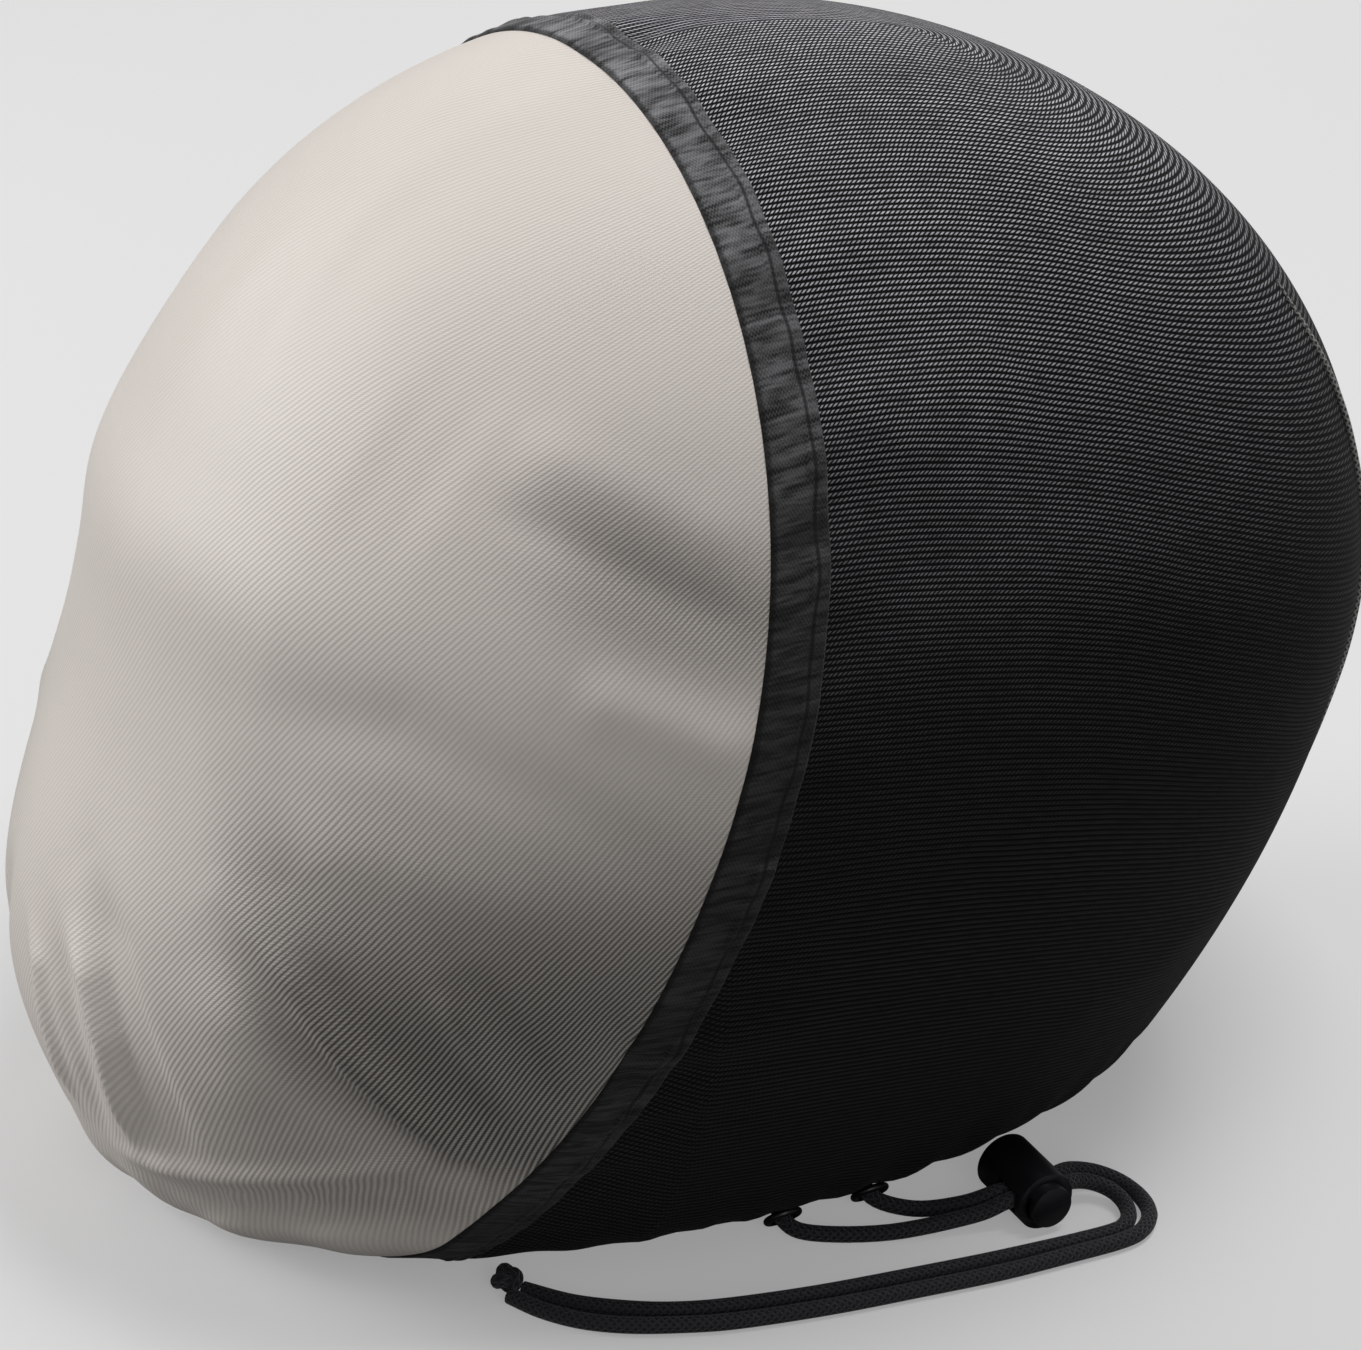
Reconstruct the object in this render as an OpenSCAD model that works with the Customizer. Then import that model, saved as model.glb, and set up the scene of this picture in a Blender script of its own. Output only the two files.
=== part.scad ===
/* [Outside form] */
// Height of the pivot line of visor and chin bar above the floor
pivot_z = 132; // [126:1:138]
// Radius of the bag's front and top about the pivot line
front_r = 141; // [136:1:146]
// Half the width of the bag at the pivot line
side_r = 128; // [124:1:132]
// Reach of the bag's back from the pivot line
back_r = 175; // [168:1:182]
// How far the chin stands out in front of the dome
chin_out = 28; // [22:1:32]
// How far the nape draws in towards the floor
nape_in = 47; // [38:1:52]
// How far the sides draw in towards the floor
side_in = 41; // [34:1:44]
// Radius of the turn under the lower edge
under_r = 20; // [16:1:24]
// Exponent of the horizontal sections, 2 is an ellipse
square_n = 2.15; // [2:0.05:2.4]

/* [Bag] */
// Thickness of the knitted cloth
cloth_t = 1; // [0.8:0.1:1.4]
// Room between the cloth and the helmet under it
bag_room = 2.2; // [1.8:0.1:3]
// Width of the hem casing that turns in under the rim
hem_w = 14; // [10:1:18]
// Diameter of the drawcord
cord_d = 4; // [3:0.5:5]
// Length of the cord lock's barrel
lock_l = 19; // [16:1:24]
// Diameter of the cord lock's barrel
lock_d = 15; // [13:1:18]
// Travel of the cord lock's button
lock_travel = 3; // [2:0.5:4]

/* [Shell and liner] */
// Thickness of the outer shell
shell_t = 3.5; // [2.5:0.1:4.5]
// Gap between the shell and the foam liner
liner_gap = 0.3; // [0.2:0.1:0.6]
// Depth of the pocket that the sun visor swings in
pocket_d = 8; // [7:0.5:10]
// Half the width of the hollow in the foam liner
hollow_w = 87; // [82:1:90]
// Radius of the hollow's front and top about the pivot line
hollow_r = 103; // [98:1:106]
// Reach of the hollow's back
hollow_b = 122; // [116:1:128]
// Thickness of the comfort padding
pad_t = 8; // [6:0.5:10]
// Height of the brow edge of the face opening
brow_z = 213; // [206:1:218]
// How far in front of the pivot line the shell's cheek edge stands
cheek_y = 46; // [40:1:50]
// Height of the shell's lower edge at the nape
rim_z = 5; // [4:0.5:8]
// How much higher the lower edge is at the sides
rim_arch = 16; // [10:1:20]

/* [Chin bar and visors] */
// Thickness of the chin bar's wall
chin_t = 4.2; // [3:0.1:5]
// Height of the chin bar's upper edge
chin_top = 97; // [92:1:102]
// Thickness of the clear visor
visor_t = 2.4; // [2:0.1:3]
// Running gap between the visor, the shell and the chin bar
visor_gap = 0.9; // [0.6:0.1:1.2]
// Thickness of the tinted sun visor
sun_t = 2; // [1.6:0.1:2.4]
// Radius of the hub that the visor turns on
hub_r = 8; // [6:0.5:10]
// Radius of the pin that the chin bar turns on
pin_r = 5; // [4:0.5:6]
// Radial play of the hub and pin in their bores
pivot_play = 0.06; // [0.03:0.01:0.1]
// Travel of the release button
button_travel = 3; // [2:0.5:4]
// Travel of the vent sliders
vent_travel = 6; // [4:0.5:8]
// Travel of the sun visor's lever
lever_travel = 20; // [16:1:24]
// Width of the chin strap's webbing
strap_w = 24; // [20:1:26]
// Thickness of the chin strap's webbing
strap_t = 1.6; // [1.2:0.1:2.2]

/* [Hidden] */

// Where the chin stands out most, as a share of the way down, and its spread
chin_mid = 0.527;
chin_span = 0.45;
nape_power = 1.46;
// The rest of the main sizes follow from the ones above
top_z = pivot_z + front_r;
skin_o = cloth_t + bag_room;
shell_r = front_r - 8;
shell_side = side_r - 12.5;
shell_back = back_r - 4.5;
swell = (side_r - skin_o - 1 - shell_side) / shell_side;
visor_in = shell_t - 0.9;
visor_out = visor_in + visor_t;
arm_in = skin_o + 3.7;
arm_out = skin_o + 0.7;
seam_top = 30;
seam_run = 76;
band_w = 13;
floor_gap = 1.2;

function clamp(x) = max(0, min(1, x));
function soft(x) = let(k = clamp(x)) k * k * (3 - 2 * k);
function unit(v) = v / norm(v);
function rise(z, r) = sqrt(max(0, 1 - pow(max(0, z - pivot_z) / r, 2)));
function fall(z) = clamp((pivot_z - z) / pivot_z);
function chin_bump(s) = exp(-pow((s - chin_mid) / chin_span, 2))
    - exp(-pow(chin_mid / chin_span, 2)) * pow(1 - s, 2);
function tuck(z, o) = let(r = max(1, under_r - o), q = clamp(1 - (z - o) / r)) r * (1 - sqrt(1 - q * q));

// Half width and front and back reach of the outside form at height z, o millimetres inwards
function half_w(z, o) = (side_r - o) * rise(z, front_r - o) - side_in * pow(fall(z), 2) - tuck(z, o);
function front_w(z, o) = (front_r - o) * rise(z, front_r - o) + chin_out * chin_bump(fall(z)) - tuck(z, o);
function back_w(z, o) = (back_r - o) * rise(z, front_r - o)
    - nape_in * pow(fall(z), nape_power) - tuck(z, o);
function section(a, f, b, t) = let(e = 2 / square_n, c = cos(t), s = sin(t))
    [sign(s) * a * pow(abs(s), e), -sign(c) * (c > 0 ? f : b) * pow(abs(c), e)];
function form(z, t, o, inset = 0) =
    concat(section(half_w(z, o) - inset, front_w(z, o) - inset, back_w(z, o) - inset, t), [z]);
function form_x(y, z, o) = let(l = y < 0 ? front_w(z, o) : back_w(z, o))
    half_w(z, o) * pow(max(0, 1 - pow(abs(y) / l, square_n)), 1 / square_n);
// Angle round the section, from the front, at which its edge is y in front of the pivot line
function turn_at(y, reach) = acos(pow(clamp(-y / reach), square_n / 2));
function level(z, o) = z < pivot_z ? z + o * (1 - z / pivot_z)
    : pivot_z + (z - pivot_z) * (front_r - o) / front_r;

// The shell: a dome about the pivot line that swells behind the chin bar's arms
function shell_w(z, o) = (shell_side - o) * rise(z, shell_r - o)
    - side_in * pow(fall(z), 2) - tuck(z, skin_o + 0.8);
function shell_f(z, o) = (shell_r - o) * rise(z, shell_r - o) - tuck(z, skin_o + 0.8);
function shell_b(z, o) = (shell_back - o) * rise(z, shell_r - o)
    - nape_in * pow(fall(z), nape_power) - tuck(z, skin_o + 0.8);
function swollen(p, z) = [p[0] * (1 + swell * soft((p[1] - 14) / 40)), p[1], z];
function shell_pt(z, t, o) = swollen(section(shell_w(z, o), shell_f(z, o), shell_b(z, o), t), z);
function shell_top(x, y, o) = let(n = square_n, b = y < 0 ? shell_r : shell_back,
    k = pow(pow(abs(x) / (shell_side - o), n) + pow(abs(y) / (b - o), n), 1 / n))
    pivot_z + (shell_r - o) * sqrt(1 - k * k);
// The edge of the face opening: the cheek line, then the eye port up to the brow
brow_reach = shell_r * sqrt(1 - pow((brow_z - pivot_z) / shell_r, 2));
function edge_y(z) = -cheek_y - (brow_reach - cheek_y) * pow(clamp((z - 100) / (brow_z - 100)), 2.6);
function edge_turn(z) = turn_at(edge_y(z), shell_f(z, 0));
function arch(t, z) = rim_arch * pow(sin(t), 2) * (1 - soft(z / 70));

// The hollow inside the foam liner
function hollow_side(z) = hollow_w * rise(z, hollow_r) - 13 * pow(fall(z), 2);
function hollow_pt(z, t, o) = let(k = rise(z, hollow_r - o))
    concat(section((hollow_w - o) * k - 13 * pow(fall(z), 2), (hollow_r - o) * k,
        (hollow_b - o) * k - 26 * pow(fall(z), 2), t), [z]);
function hollow_x(y, z, o) = let(l = (y < 0 ? hollow_r : hollow_b - 26 * pow(fall(z), 2)) - o)
    (hollow_side(z) - o) * pow(max(0, 1 - pow(abs(y) / l, square_n)), 1 / square_n);

// A closed skin from rows of outer and inner points; rows from index closed on are full rings
module skin(outer, inner, closed, poles = []) {
    m = len(outer);
    n = len(outer[0]) - 1;
    low = m * (n + 1);
    function at(j, i) = j == m ? 2 * low : j * (n + 1) + (j >= closed && i == n ? 0 : i);
    function in_at(j, i) = j == m ? 2 * low + 1 : low + at(j, i);
    last = len(poles) == 2 ? m : m - 1;
    points = concat([for (row = outer) each row], [for (row = inner) each row], poles);
    faces = concat(
        [for (j = [0 : m - 2], i = [0 : n - 1]) each
            [[at(j, i), at(j + 1, i), at(j + 1, i + 1)], [at(j, i), at(j + 1, i + 1), at(j, i + 1)],
             [in_at(j, i), in_at(j + 1, i + 1), in_at(j + 1, i)],
             [in_at(j, i), in_at(j, i + 1), in_at(j + 1, i + 1)]]],
        [for (i = [0 : n - 1]) each
            [[at(0, i), at(0, i + 1), in_at(0, i + 1)], [at(0, i), in_at(0, i + 1), in_at(0, i)]]],
        [for (i = [0 : n - 1]) each last == m
            ? [[at(m - 1, i), at(m, 0), at(m - 1, i + 1)],
               [in_at(m - 1, i), in_at(m - 1, i + 1), in_at(m, 0)]]
            : [[at(m - 1, i), in_at(m - 1, i), in_at(m - 1, i + 1)],
               [at(m - 1, i), in_at(m - 1, i + 1), at(m - 1, i + 1)]]],
        [for (j = [0 : last - 1]) if (j < closed) each
            [[in_at(j, 0), in_at(j + 1, 0), at(j + 1, 0)], [in_at(j, 0), at(j + 1, 0), at(j, 0)],
             [at(j, n), at(j + 1, n), in_at(j + 1, n)], [at(j, n), in_at(j + 1, n), in_at(j, n)]]]);
    polyhedron(points, faces, convexity = 6);
}

// A bar of one profile along a path; each reference vector shows which way its second axis faces
function along(path, k) = unit(path[min(k + 1, len(path) - 1)] - path[max(k - 1, 0)]);
module bar(path, refs, profile) {
    m = len(path);
    n = len(profile);
    rings = [for (k = [0 : m - 1]) let(t = along(path, k), s = unit(cross(t, refs[k])), u = cross(s, t))
        [for (q = profile) path[k] + q[0] * s + q[1] * u]];
    polyhedron([for (r = rings) each r],
        concat([[for (i = [0 : n - 1]) n - 1 - i]], [[for (i = [0 : n - 1]) (m - 1) * n + i]],
        [for (k = [0 : m - 2], i = [0 : n - 1]) let(a = k * n + i, b = k * n + (i + 1) % n) each
            [[a, b, b + n], [a, b + n, a + n]]]), convexity = 6);
}
function ring_profile(r, sides) = [for (i = [0 : sides - 1]) let(a = i * 360 / sides) r * [cos(a), sin(a)]];
module coil(r, wire, low, high, turns, steps = 7) {
    count = turns * steps;
    path = [for (k = [0 : count]) let(a = k * 360 / steps)
        [r * cos(a), r * sin(a), low + wire + (high - low - 2 * wire) * k / count]];
    bar(path, [for (p = path) [0, 0, 1]], ring_profile(wire, 6));
}

shell_share = [0, 0.05, 0.14, 0.28, 0.43, 0.55, 0.66, 0.77, 0.86, 0.93, 0.98];
dome_steps = 6;
function dome_z(r, low) = let(a = asin((low - pivot_z) / r))
    [for (k = [0 : dome_steps - 1]) pivot_z + r * sin(a + (90 - a) * k / dome_steps)];
function turns_from(t, n) = [for (i = [0 : n]) t + (360 - 2 * t) * i / n];
shell_z = [for (s = shell_share) rim_z + (brow_z - rim_z) * s];

module dome_skin(first, o_out, o_in, n) {
    open_z = [for (k = [first : len(shell_z) - 1]) shell_z[k]];
    skin(
        [for (z = concat(open_z, dome_z(shell_r, brow_z))) let(t0 = z < brow_z ? edge_turn(z) : 0)
            [for (t = turns_from(t0, n)) let(o = o_out(z, t))
                shell_pt(pivot_z + (z - pivot_z) * (z > pivot_z ? 1 - o / shell_r : 1)
                    + arch(t, z), t, o)]],
        [for (z = concat(open_z, dome_z(shell_r, brow_z))) let(t0 = z < brow_z ? edge_turn(z) : 0)
            [for (t = turns_from(t0, n)) o_in(z, t)]],
        len(open_z),
        [[0, 0, pivot_z + shell_r - o_out(top_z, 180)], o_in(top_z, 180)]);
}

module outer_shell() {
    color("gray") difference() {
        dome_skin(0, function(z, t) 0,
            function(z, t) z == top_z ? [0, 0, pivot_z + shell_r - shell_t]
                : shell_pt(pivot_z + (z - pivot_z) * (z > pivot_z ? 1 - shell_t / shell_r : 1)
                    + arch(t, z), t, shell_t), 34);
        to_both() translate([latch_x - 5, claw_y, claw_z]) rotate([0, 90, 0])
            cylinder(h = 20, r = latch_r + fit_gap, $fn = 48);
        to_both() translate([wall_x - 6, strap_y, rivet_z]) rotate([0, 90, 0])
            cylinder(h = 20, r = rivet_r + fit_gap, $fn = 32);
        lever_slot(lever_x - 5, 14, 0.4);
    }
}

function front_turn(t) = min(t, 360 - t);
function pocket(z, t) = shell_t + liner_gap
    + pocket_d * soft((108 - front_turn(t)) / 10) * soft((z - 84) / 10);
module foam_liner() {
    color("dimgray") difference() {
        dome_skin(1, function(z, t) pocket(z, t),
            function(z, t) z == top_z ? [0, 0, pivot_z + hollow_r]
                : let(h = z > pivot_z ? pivot_z + (z - pivot_z) * hollow_r / shell_r : z)
                    hollow_pt(h + arch(t, z), t, 0), 34);
        translate([lever_x - 8.6, lever_y - 3.6, lever_z - 5.6]) cube([20, 15.2 + lever_travel, 11.2]);
    }
}

// Comfort padding
pad_gap = 0.9;
module crown_pad() {
    z_low = 118;
    open_z = [for (s = [0, 0.2, 0.4, 0.6, 0.8, 0.93]) z_low + (brow_z - z_low) * s];
    rows = concat(open_z, dome_z(shell_r, brow_z));
    function pad_pt(z, t, o) = hollow_pt(z > pivot_z
        ? pivot_z + (z - pivot_z) * (hollow_r - o) / shell_r : z, t, o);
    color("darkslategray")
        skin([for (z = rows) [for (t = turns_from(z < brow_z ? edge_turn(z) + 4 : 0, 24))
                pad_pt(z, t, pad_gap)]],
            [for (z = rows) [for (t = turns_from(z < brow_z ? edge_turn(z) + 4 : 0, 24))
                pad_pt(z, t, pad_gap + pad_t * (z < z_low + 1 ? 0.4 : 1))]],
            len(open_z),
            [[0, 0, pivot_z + hollow_r - pad_gap], [0, 0, pivot_z + hollow_r - pad_gap - pad_t]]);
}

module cheek_pad() {
    y_mid = -6;
    y_half = 36;
    z_mid = 72;
    z_half = 38;
    steps = 10;
    function crown(u, v) = pow(1 - pow(abs(u), 3), 0.5) * pow(1 - pow(abs(v), 3), 0.5);
    function pad_x(u, v, o) = min(lever_x - 8 - lever_gap,
        hollow_x(y_mid + y_half * u, z_mid + z_half * v, o));
    shares = [for (k = [0 : steps]) -sin(90 * (1 - 2 * k / steps))];
    function corner(u, v) = y_half * u * (1 - 0.12 * v * v);
    color("darkslategray")
        skin([for (v = shares) [for (u = shares) [pad_x(u, v, 1), y_mid + corner(u, v), z_mid + z_half * v]]],
            [for (v = shares) [for (u = shares)
                [pad_x(u, v, 3) - 22 * crown(u, v), y_mid + corner(u, v), z_mid + z_half * v]]],
            steps + 1);
}

module neck_roll() {
    z_low = rim_z + 12;
    color("darkslategray")
        skin([for (k = [0 : 6]) let(z = z_low + 4 * k) [for (i = [0 : 20]) let(t = 114 + 132 * i / 20)
                hollow_pt(z + arch(t, z), t, pad_gap + 0.1)]],
            [for (k = [0 : 6]) let(z = z_low + 4 * k) [for (i = [0 : 20]) let(t = 114 + 132 * i / 20)
                hollow_pt(z + arch(t, z), t, 3 + 11 * sin(30 * k) * sqrt(max(0, sin(9 * i))))]], 7);
}

module rim_trim() {
    t0 = edge_turn(rim_z);
    function trim_pt(z, t, o) = let(p = shell_pt(rim_z + arch(t, rim_z), t, o))
        [p[0], p[1], z + arch(t, rim_z)];
    rows = [[floor_gap, 6.8, 8.6], [floor_gap + 1.4, 3.2, 7], [rim_z - 0.1, -0.4, shell_t + 0.6]];
    color("black")
        skin([for (r = rows) [for (t = turns_from(t0, 34)) trim_pt(r[0], t, r[1])]],
            [for (r = rows) [for (t = turns_from(t0, 34)) trim_pt(r[0], t, r[2])]], 3);
}

module eye_port_gasket() {
    zs = [for (s = [0.42, 0.5, 0.6, 0.7, 0.8, 0.88, 0.94, 0.98, 0.999]) rim_z + (brow_z - rim_z) * s];
    left = [for (z = zs) shell_pt(z + 2.5, edge_turn(z), -1.6)];
    m = len(left);
    path = concat(left, [for (k = [m - 1 : -1 : 0]) [-left[k][0], left[k][1], left[k][2]]]);
    color("black")
        bar(path, [for (p = path) [p[0], p[1], p[2] - pivot_z]], ring_profile(0.9, 6));
}

// The chin bar, its arms and what moves with it
chin_end = -34;
arm_r = 16;
arm_t = 3.4;
vent_x = 26;
house_y = 15.4 - front_w(11, skin_o);
claw_z = 42;
latch_r = 3;
latch_x = shell_w(claw_z, 0) - 5.7;
fit_gap = 0.05;
claw_y = -38;
module to_both() {
    children();
    mirror([1, 0, 0]) children();
}
module on_side(x) {
    translate([x, 0, pivot_z]) rotate([0, 90, 0]) children();
}
function wrap(z, end, n, o) = let(e = turn_at(end, front_w(z, o))) [for (i = [0 : n]) -e + 2 * e * i / n];
function form_rows(zs, end, n, o) = [for (z = zs) [for (t = wrap(z, end, n, o)) form(level(z, o), t, o)]];

module chin_bar() {
    zs = [for (s = [0, 0.02, 0.06, 0.13, 0.24, 0.38, 0.54, 0.7, 0.86, 1]) chin_top * s];
    color("gray") difference() {
        union() {
            skin(form_rows(zs, chin_end, 28, skin_o), form_rows(zs, chin_end, 28, skin_o + chin_t), len(zs));
            to_both() chin_arm();
            translate([-22, house_y - 9, 7.6]) cube([44, 18, 15]);
        }
        to_both() on_side(side_r - skin_o - arm_t - 1)
            cylinder(h = arm_t + 2, r = pin_r + pivot_play, $fn = 48);
        translate([-button_w / 2 - 0.4, house_y - 6.4, 0]) cube([button_w + 0.8, 12.8, 19]);
        for (x = [-15, 5]) translate([x, -front_w(66, 0) - 8, 66]) cube([10, 45, 3]);
    }
}
module chin_arm() {
    run = [0, -44, 88];
    ends = [0, 0, pivot_z];
    across = unit([0, -(ends[2] - run[2]), ends[1] - run[1]]);
    function arm_pt(u, v, o) = let(p = run + (ends - run) * u - across * arm_r * v)
        [form_x(p[1], p[2], o), p[1], p[2]];
    skin([for (u = [0 : 0.2 : 1]) [for (v = [-1 : 0.25 : 1]) arm_pt(u, v, skin_o)]],
        [for (u = [0 : 0.2 : 1]) [for (v = [-1 : 0.25 : 1]) arm_pt(u, v, skin_o + arm_t)]], 6);
    on_side(side_r - skin_o - arm_t) cylinder(h = arm_t, r = arm_r + 1, $fn = 72);
}
module chin_bar_foam() {
    zs = [for (s = [0.103, 0.206, 0.33, 0.474, 0.619, 0.763, 0.866]) chin_top * s];
    o = skin_o + chin_t + 0.9;
    function inner_o(t) = o + 0.8 + 10 * (1 - soft(abs(t) / 66));
    color("dimgray") difference() {
        skin(form_rows(zs, -60, 26, o),
            [for (z = zs) [for (t = wrap(z, -60, 26, o)) form(level(z, o), t, inner_o(t))]], len(zs));
        translate([-22.4, house_y - 14, 0]) cube([44.8, 30, 23]);
    }
}
module chin_curtain() {
    ts = [for (i = [0 : 24]) -62 + 124 * i / 24];
    function edge(t, inset) = section(half_w(skin_o, skin_o) - inset, front_w(skin_o, skin_o) - inset,
        back_w(skin_o, skin_o) - inset, t);
    function strip(a, b) = concat([for (t = ts) edge(t, a)], [for (i = [24 : -1 : 0]) edge(ts[i], b)]);
    color("black") difference() {
        union() {
            translate([0, 0, floor_gap]) linear_extrude(height = skin_o - floor_gap) polygon(strip(0.8, 3.6));
            translate([0, 0, 7.6]) linear_extrude(height = 1.6) polygon(strip(4.2, 20));
        }
        translate([-22.4, house_y - 9.4, 0]) cube([44.8, 18.8, 23]);
    }
}
module breath_deflector() {
    ts = [for (i = [0 : 10]) -21 + 4.2 * i];
    o = skin_o + chin_t + 12.6;
    color("black")
        skin([for (z = [66, 76, 86, 95]) [for (t = ts) form(z, t, o)]],
            [for (z = [66, 76, 86, 95]) [for (t = ts) form(z, t, o + 1.2)]], 4);
}
module chin_vent_slider() {
    function face(z, x, o) = let(k = 1 - pow(abs(x) / half_w(z, o), square_n))
        [x, -front_w(z, o) * pow(k, 1 / square_n), z];
    xs = [for (i = [0 : 10]) -vent_x + 2 * vent_x * i / 10];
    color("black")
        skin([for (z = [58, 62, 66, 70]) [for (x = xs) face(z, x, cloth_t + 1)]],
            [for (z = [58, 62, 66, 70]) [for (x = xs) face(z, x, skin_o - 0.4)]], 4);
}
button_w = 30;
module release_button() {
    color("red") {
        translate([-button_w / 2, house_y - 6, skin_o + 0.8]) cube([button_w, 12, 8]);
        translate([0, house_y, 11]) cylinder(h = 1.6, r = 1.6, $fn = 32);
    }
}
module button_spring() {
    color("silver") translate([0, house_y, 0]) coil(2.8, 0.4, 12.1, 18.9, 4);
}
module latch_claws() {
    rake = 30;
    color("silver") to_both() difference() {
        skin([for (z = [claw_z - 9, claw_z, claw_z + 9]) [for (y = [-54 : 6 : -30])
                [form_x(y, z, skin_o + chin_t + 0.3), y, z]]],
            [for (z = [claw_z - 9, claw_z, claw_z + 9]) [for (y = [-54 : 6 : -30])
                [form_x(y, z, skin_o + chin_t + 3.3), y, z]]], 3);
        translate([80, claw_y, claw_z]) rotate([0, 90, 0]) cylinder(h = 40, r = latch_r + 0.3, $fn = 48);
        translate([80, claw_y, claw_z]) rotate([-rake, 0, 0]) translate([0, 0, -latch_r - 0.3])
            cube([40, 20, 2 * latch_r + 0.6]);
    }
}
module latch_pins() {
    color("silver") to_both() translate([0, claw_y, claw_z]) rotate([0, 90, 0]) {
        translate([0, 0, latch_x]) cylinder(h = 7, r = latch_r, $fn = 48);
    }
}

// Visor and sun visor turn about the pivot line
function turned(a, r, n, phi, theta) = let(x = a * sign(phi) * pow(abs(sin(phi)), 2 / n),
    reach = r * pow(abs(cos(phi)), 2 / n)) [x, -reach * cos(theta), pivot_z + reach * sin(theta)];
visor_side = side_r - 7.2;
visor_r = front_r - 2.5;
ring_r = 17;
ring_in = visor_side - 2.8;
ring_out = visor_side - 0.3;
module swing(a, r, t, n, low, high, phis, narrow, steps) {
    function span(phi, v) = let(k = soft((abs(phi) - narrow) / 26), mid = (low + high) / 2)
        mid + (v - 0.5) * (high - low) * (1 - k * 0.1) - k * mid;
    skin([for (j = [0 : steps]) [for (p = phis) turned(a, r, n, p, span(p, j / steps))]],
        [for (j = [0 : steps]) [for (p = phis) turned(a - t, r - t, n, p, span(p, j / steps))]], steps + 1);
}
module visor() {
    color("lightsteelblue", 0.5) difference() {
        union() {
            swing(visor_side, visor_r, visor_t, square_n, -14, 38, [for (i = [-12 : 12]) i * 7.1], 58, 6);
            to_both() on_side(ring_in) cylinder(h = ring_out - ring_in, r = ring_r, $fn = 72);
        }
        to_both() on_side(ring_in - 4) cylinder(h = 12, r = hub_r + pivot_play, $fn = 72);
    }
}
sun_side = shell_side - shell_t - sun_t;
sun_r = shell_r - 2 * shell_t;
sun_pin = 3;
module sun_visor() {
    color("dimgray", 0.7) difference() {
        union() {
            swing(sun_side, sun_r, sun_t, 2, 40, 81, [for (i = [-12 : 12]) i * 7.15], 48, 5);
            to_both() on_side(sun_side - 2.6) cylinder(h = 2.4, r = 12, $fn = 60);
        }
        to_both() on_side(sun_side - 6) cylinder(h = 12, r = sun_pin + 0.05, $fn = 40);
    }
}
module sun_visor_pins() {
    color("silver") to_both() on_side(sun_side - 5) {
        cylinder(h = shell_side - shell_t - sun_side + 4.3, r = sun_pin, $fn = 40);
        cylinder(h = 1.8, r = 5, $fn = 40);
    }
}
lever_y = 26;
lever_z = 52;
lever_x = shell_w(lever_z, 0) - 1.44;
lever_gap = 1;
module lever_slot(x0, h, grow) {
    translate([x0, lever_y - grow, lever_z - 3 - grow])
        cube([h, 8 + lever_travel + 2 * grow, 6 + 2 * grow]);
}
module sun_visor_lever() {
    color("red") {
        translate([lever_x - 7, lever_y, lever_z - 3]) cube([13, 8, 6]);
        translate([lever_x + 5.6, lever_y - 1, lever_z - 3.5]) cube([2.2, 10, 7]);
        translate([lever_x - 8, lever_y - 3, lever_z - 5]) cube([2, 14, 10]);
    }
}
module pivot_base() {
    color("dimgray") difference() {
        union() {
            on_side(shell_side + 0.25) cylinder(h = 1.2, r = 17, $fn = 72);
            on_side(shell_side + 1.2) cylinder(h = ring_out + 0.4 - shell_side - 1.2, r = hub_r, $fn = 72);
            on_side(ring_out + 0.3) cylinder(h = side_r - skin_o - 0.1 - ring_out - 0.3, r = pin_r, $fn = 48);
        }
    }
}
module pivot_cover() {
    color("black") on_side(side_r - skin_o + 0.05) {
        cylinder(h = 0.5, r = 12, $fn = 72);
        translate([0, 0, 0.5]) cylinder(h = 0.5, r1 = 12, r2 = 9, $fn = 72);
    }
}

// Vents on the shell
duct_y = 30;
duct_tilt = -8;
module on_top() {
    translate([0, duct_y, shell_top(0, duct_y, 0)]) rotate([duct_tilt, 0, 0]) children();
}
module top_vent_duct() {
    ys = [12, 16, 24, 34, 44, 52, 58];
    xs = [-24, -18, -9, 0, 9, 18, 24];
    function lump(x, y) = 1 + 4 * (1 - pow(abs(x) / 24, 3)) * (1 - pow(abs(y - 35) / 24, 3));
    function pod(x, y, h) = [x, y, shell_top(x, y, 0) + h];
    color("black") difference() {
        skin([for (k = [0 : 6]) [for (x = xs) pod(x, ys[k], lump(x, ys[k]))]],
            [for (k = [0 : 6]) [for (x = xs) pod(x, ys[k], 0.5)]], 7);
        on_top() translate([-9, -10, 1.8]) cube([18, 24 , 6]);
    }
}
module top_vent_slider() {
    color("gray") on_top() {
        translate([-8.6, -9.6, 1.9]) cube([17.2, 16, 2]);
        translate([-6, -4, 3.9]) cube([12, 2, 0.8]);
    }
}
module rear_vent() {
    zs = [for (k = [0 : 5]) 192 + 6 * k];
    ts = [for (i = [0 : 8]) 162 + 4.5 * i];
    function fin(j, i) = 0.6 + 2 * sin(36 * j) * sin(22.5 * i);
    color("black")
        skin([for (j = [0 : 5]) [for (i = [0 : 8]) shell_pt(zs[j], ts[i], -fin(j, i))]],
            [for (j = [0 : 5]) [for (i = [0 : 8]) shell_pt(zs[j], ts[i], -0.2)]], 6);
}

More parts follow.
